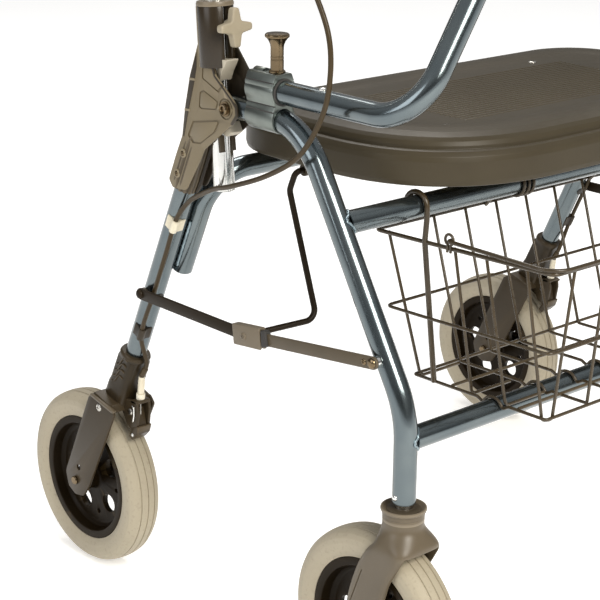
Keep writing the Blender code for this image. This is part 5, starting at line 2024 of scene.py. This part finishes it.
def cable(name, side):
    """Sheathed cable in one length, clipped down the leg; its ends follow leg and handle."""
    route = [(0, (ADJUSTER[1][0], ADJUSTER[1][1] + 0.0012)), (0, (0.1385, 0.264))]
    route += [(CABLE_OUTBOARD, (rear_leg_y(height) - 0.0117, height)) for height in CABLE_ON_LEG]
    points = [on_side(side, outboard, spot) for outboard, spot in route + CABLE_LOOP]
    path = smooth_route(points, 10)
    piece = bar(f"brake_cable_{name}_finished", path, CABLE_RADIUS, 20)
    finish(piece, "sheath", None, [f"brake_cable_{name}"])
    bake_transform(piece)
    ferrule = [
        (CABLE_RADIUS + 0.0001, 0), (0.0032, 0), (0.0033, 0.0006), (0.0033, 0.011),
        (0.0029, 0.012), (CABLE_RADIUS + 0.0001, 0.012),
    ]
    direction = path[4] - path[0]
    finish(
        lathe(f"cable_ferrule_{name}", ferrule, path[0], direction, 32),
        "sheath",
        "rear_frame",
    )
    direction = path[-5] - path[-1]
    finish(
        lathe(f"cable_ferrule_top_{name}", ferrule, path[-1], direction, 32),
        "steel",
        f"handle_{name}",
    )


for brake_name, brake_side in SIDES.items():
    leg_bracket(brake_name, brake_side)
    socket_ribs(brake_name, brake_side)
    brake(brake_name, brake_side)
    adjuster(brake_name, brake_side)
    cable_clip(brake_name, brake_side, 0, 0.437, "cream")
    cable_clip(brake_name, brake_side, 1, 0.305, "shell_dark")
    cable(brake_name, brake_side)


# Handles


def grip_z(y):
    """The Z of the grip's axis at a Y."""
    slope = (GRIP_END[1] - GRIP_START[1]) / (GRIP_END[0] - GRIP_START[0])
    return GRIP_START[1] + slope * (y - GRIP_START[0])


def handle_post(name, side):
    """Bent tube with shallow drawn flutes below its bend, and a row of height marks."""
    path = bent_path([on_side(side, 0, spot) for spot in (POST_FOOT, GRIP_START, GRIP_END)], [0.04])
    frames = path_frames(path)
    sides, flutes = 120, 12

    def fluted(height):
        ring = []
        for step in range(sides):
            angle = math.tau * step / sides
            phase = (angle % (math.tau / flutes)) / (math.tau / flutes)
            reach = POST_RADIUS - (0.00045 if height < 0.82 and phase < 0.12 else 0)
            ring.append((reach * math.cos(angle), reach * math.sin(angle)))
        return ring

    rings = [ring_points(point, axes, fluted(point.z)) for point, axes in zip(path, frames)]
    bore = circle(POST_RADIUS - TUBE_WALL, sides)
    rings += [ring_points(point, axes, bore) for point, axes in reversed(list(zip(path, frames)))]
    post = stack(f"handle_post_{name}_finished", rings, closed=True, smooth=24)
    body = f"handle_{name}"
    finish(post, "polished", body, [f"handle_post_{name}"])
    upwards = (0, POST_SLOPE, 1)
    plug = [
        (0, -0.0008), (0.009, -0.0008), (0.01, 0.0), (0.01, 0.001), (0.0084, 0.0012),
        (0.0084, 0.008), (0, 0.008),
    ]
    plug = lathe(f"post_plug_{name}", plug, on_side(side, 0, POST_FOOT), upwards, 40)
    finish(plug, "shell_dark", body)
    low, high, half = POST_RADIUS - 0.0003, POST_RADIUS + 0.00012, 0.0004
    for index in range(8):
        height = 0.7 + index * 0.018
        ring = [(low, -half), (high, -half), (high, half), (low, half)]
        mark = lathe(
            f"height_mark_{name}_{index}",
            ring,
            on_side(side, 0, (post_y(height), height)),
            upwards,
            48,
        )
        finish(mark, "shell_dark", body)


def handle_grip(name, side):
    """Moulded grip: a thumb flange, a waist, a palm swell, finger ribs beneath and a domed end."""
    start = on_side(side, 0, (0.108, grip_z(0.108)))
    axis = on_side(side, 0, GRIP_END) - start
    length = axis.length
    axis.normalize()
    down = axis.cross(X_AXIS).normalized()
    if down.z > 0:
        down = -down
    outline = [
        (0.0, 0.0176), (0.0012, 0.0186), (0.0045, 0.0186), (0.0075, 0.0174), (0.012, 0.0158),
        (0.02, 0.015), (0.03, 0.0158), (0.04, 0.017), (0.05, 0.0174), (0.062, 0.017),
        (0.074, 0.0163), (0.085, 0.016), (length - 0.004, 0.0168), (length + 0.001, 0.0184),
        (length + 0.004, 0.0184), (length + 0.007, 0.0172), (length + 0.0095, 0.013),
        (length + 0.0106, 0.007), (length + 0.0108, 0.0),
    ]

    def radius_at(along):
        for (a, low), (b, high) in zip(outline, outline[1:]):
            if a <= along <= b:
                return low + (high - low) * (along - a) / (b - a)
        return outline[-1][1]

    def section(along):
        radius = radius_at(along)
        ring = []
        for step in range(72):
            angle = math.tau * step / 72
            reach = radius
            if 0.014 < along < length - 0.008:
                reach += 0.0007 * max(0.0, math.cos(angle)) * math.cos(along / 0.0215 * math.tau)
            if 0.02 < along < length - 0.01 and math.cos(angle) < 0.2 and along % 0.0045 < 0.0012:
                reach -= 0.00035
            reach = max(0.0002, reach)
            ring.append((reach * math.cos(angle), reach * math.sin(angle)))
        return ring

    stations = [(length + 0.0107) * index / 150 for index in range(151)]
    rings = [
        ring_points(start + axis * along, (down, X_AXIS), section(along)) for along in stations
    ]
    grip = stack(f"handle_grip_{name}_finished", rings, smooth=50)
    finish(grip, "rubber", f"handle_{name}", [f"handle_grip_{name}"])


def lever_and_housing(name, side):
    """Clamp with the lever's ears, a pinch screw, and the squeeze lever with its locking tail."""
    body = f"handle_{name}"
    spots = [
        on_side(side, 0, (LEVER_PIVOT[0] + offset, grip_z(LEVER_PIVOT[0] + offset)))
        for offset in (-0.008, 0.012)
    ]
    axis = spots[1] - spots[0]
    profile = [
        (POST_RADIUS + 0.0002, 0), (0.0146, 0), (0.0155, 0.001), (0.0155, axis.length - 0.001),
        (0.0146, axis.length), (POST_RADIUS + 0.0002, axis.length),
    ]
    clamp = lathe("clamp", profile, spots[0], axis, 64)
    high = grip_z(LEVER_PIVOT[0]) - 0.0125
    low = high - 0.03
    y = LEVER_PIVOT[0]
    ear = fillet(
        [(y - 0.0085, high), (y - 0.0075, low), (y + 0.0065, low), (y + 0.012, high)],
        [0.001, 0.006, 0.006, 0.001],
        5,
    )
    parts = [clamp]
    for inner in (0.0058, -0.0085):
        parts.append(slab("ear", ear, *span(side, inner, inner + 0.0027), edge=0.0007))
    finish(
        gather(f"lever_housing_{name}_finished", parts),
        "shell_dark",
        body,
        [f"lever_housing_{name}"],
    )
    screw = pan_head(
        f"housing_screw_{name}",
        on_side(side, 0.015, (y + 0.002, grip_z(y) + 0.001)),
        (side, 0, 0),
        0.0036,
        0.0024,
        "hex",
    )
    finish(screw, "steel", body)
    pin = [
        (0, -0.01), (0.0026, -0.0098), (0.0032, -0.0086), (0.0018, -0.0086), (0.0018, 0.0086),
        (0.0032, 0.0086), (0.0026, 0.0098), (0, 0.01),
    ]
    finish(
        lathe(f"lever_pin_{name}", pin, on_side(side, 0, LEVER_PIVOT), X_AXIS, 32),
        "steel",
        body,
    )
    lever_body = f"brake_lever_{name}"
    outline = [
        (-0.009, -0.004), (-0.009, 0.005), (0.006, 0.005), (0.03, 0.001), (0.08, -0.007),
        (0.105, -0.016), (0.102, -0.022), (0.076, -0.015), (0.028, -0.007), (0.006, -0.006),
    ]
    rounding = [0.003, 0.003, 0.01, 0.03, 0.02, 0.0032, 0.0032, 0.02, 0.03, 0.006]
    outline = [(LEVER_PIVOT[0] + along, LEVER_PIVOT[1] + rise) for along, rise in outline]
    lever = slab(
        f"{lever_body}_finished",
        fillet(outline, rounding, 6),
        *span(side, -0.0054, 0.0054),
        edge=0.0022,
    )
    shade(lever, 50)
    finish(lever, "shell_dark", lever_body, [lever_body])
    barrel = [
        (CABLE_RADIUS + 0.0002, 0), (0.004, 0), (0.0042, 0.0008), (0.0042, 0.006),
        (0.0036, 0.0068), (CABLE_RADIUS + 0.0002, 0.0068),
    ]
    tip = on_side(side, 0, CABLE_LOOP[-1][1])
    back = on_side(side, *CABLE_LOOP[-2])
    finish(lathe(f"lever_barrel_{name}", barrel, tip, back - tip, 32), "steel", body)


for handle_name, handle_side in SIDES.items():
    handle_post(handle_name, handle_side)
    handle_grip(handle_name, handle_side)
    lever_and_housing(handle_name, handle_side)
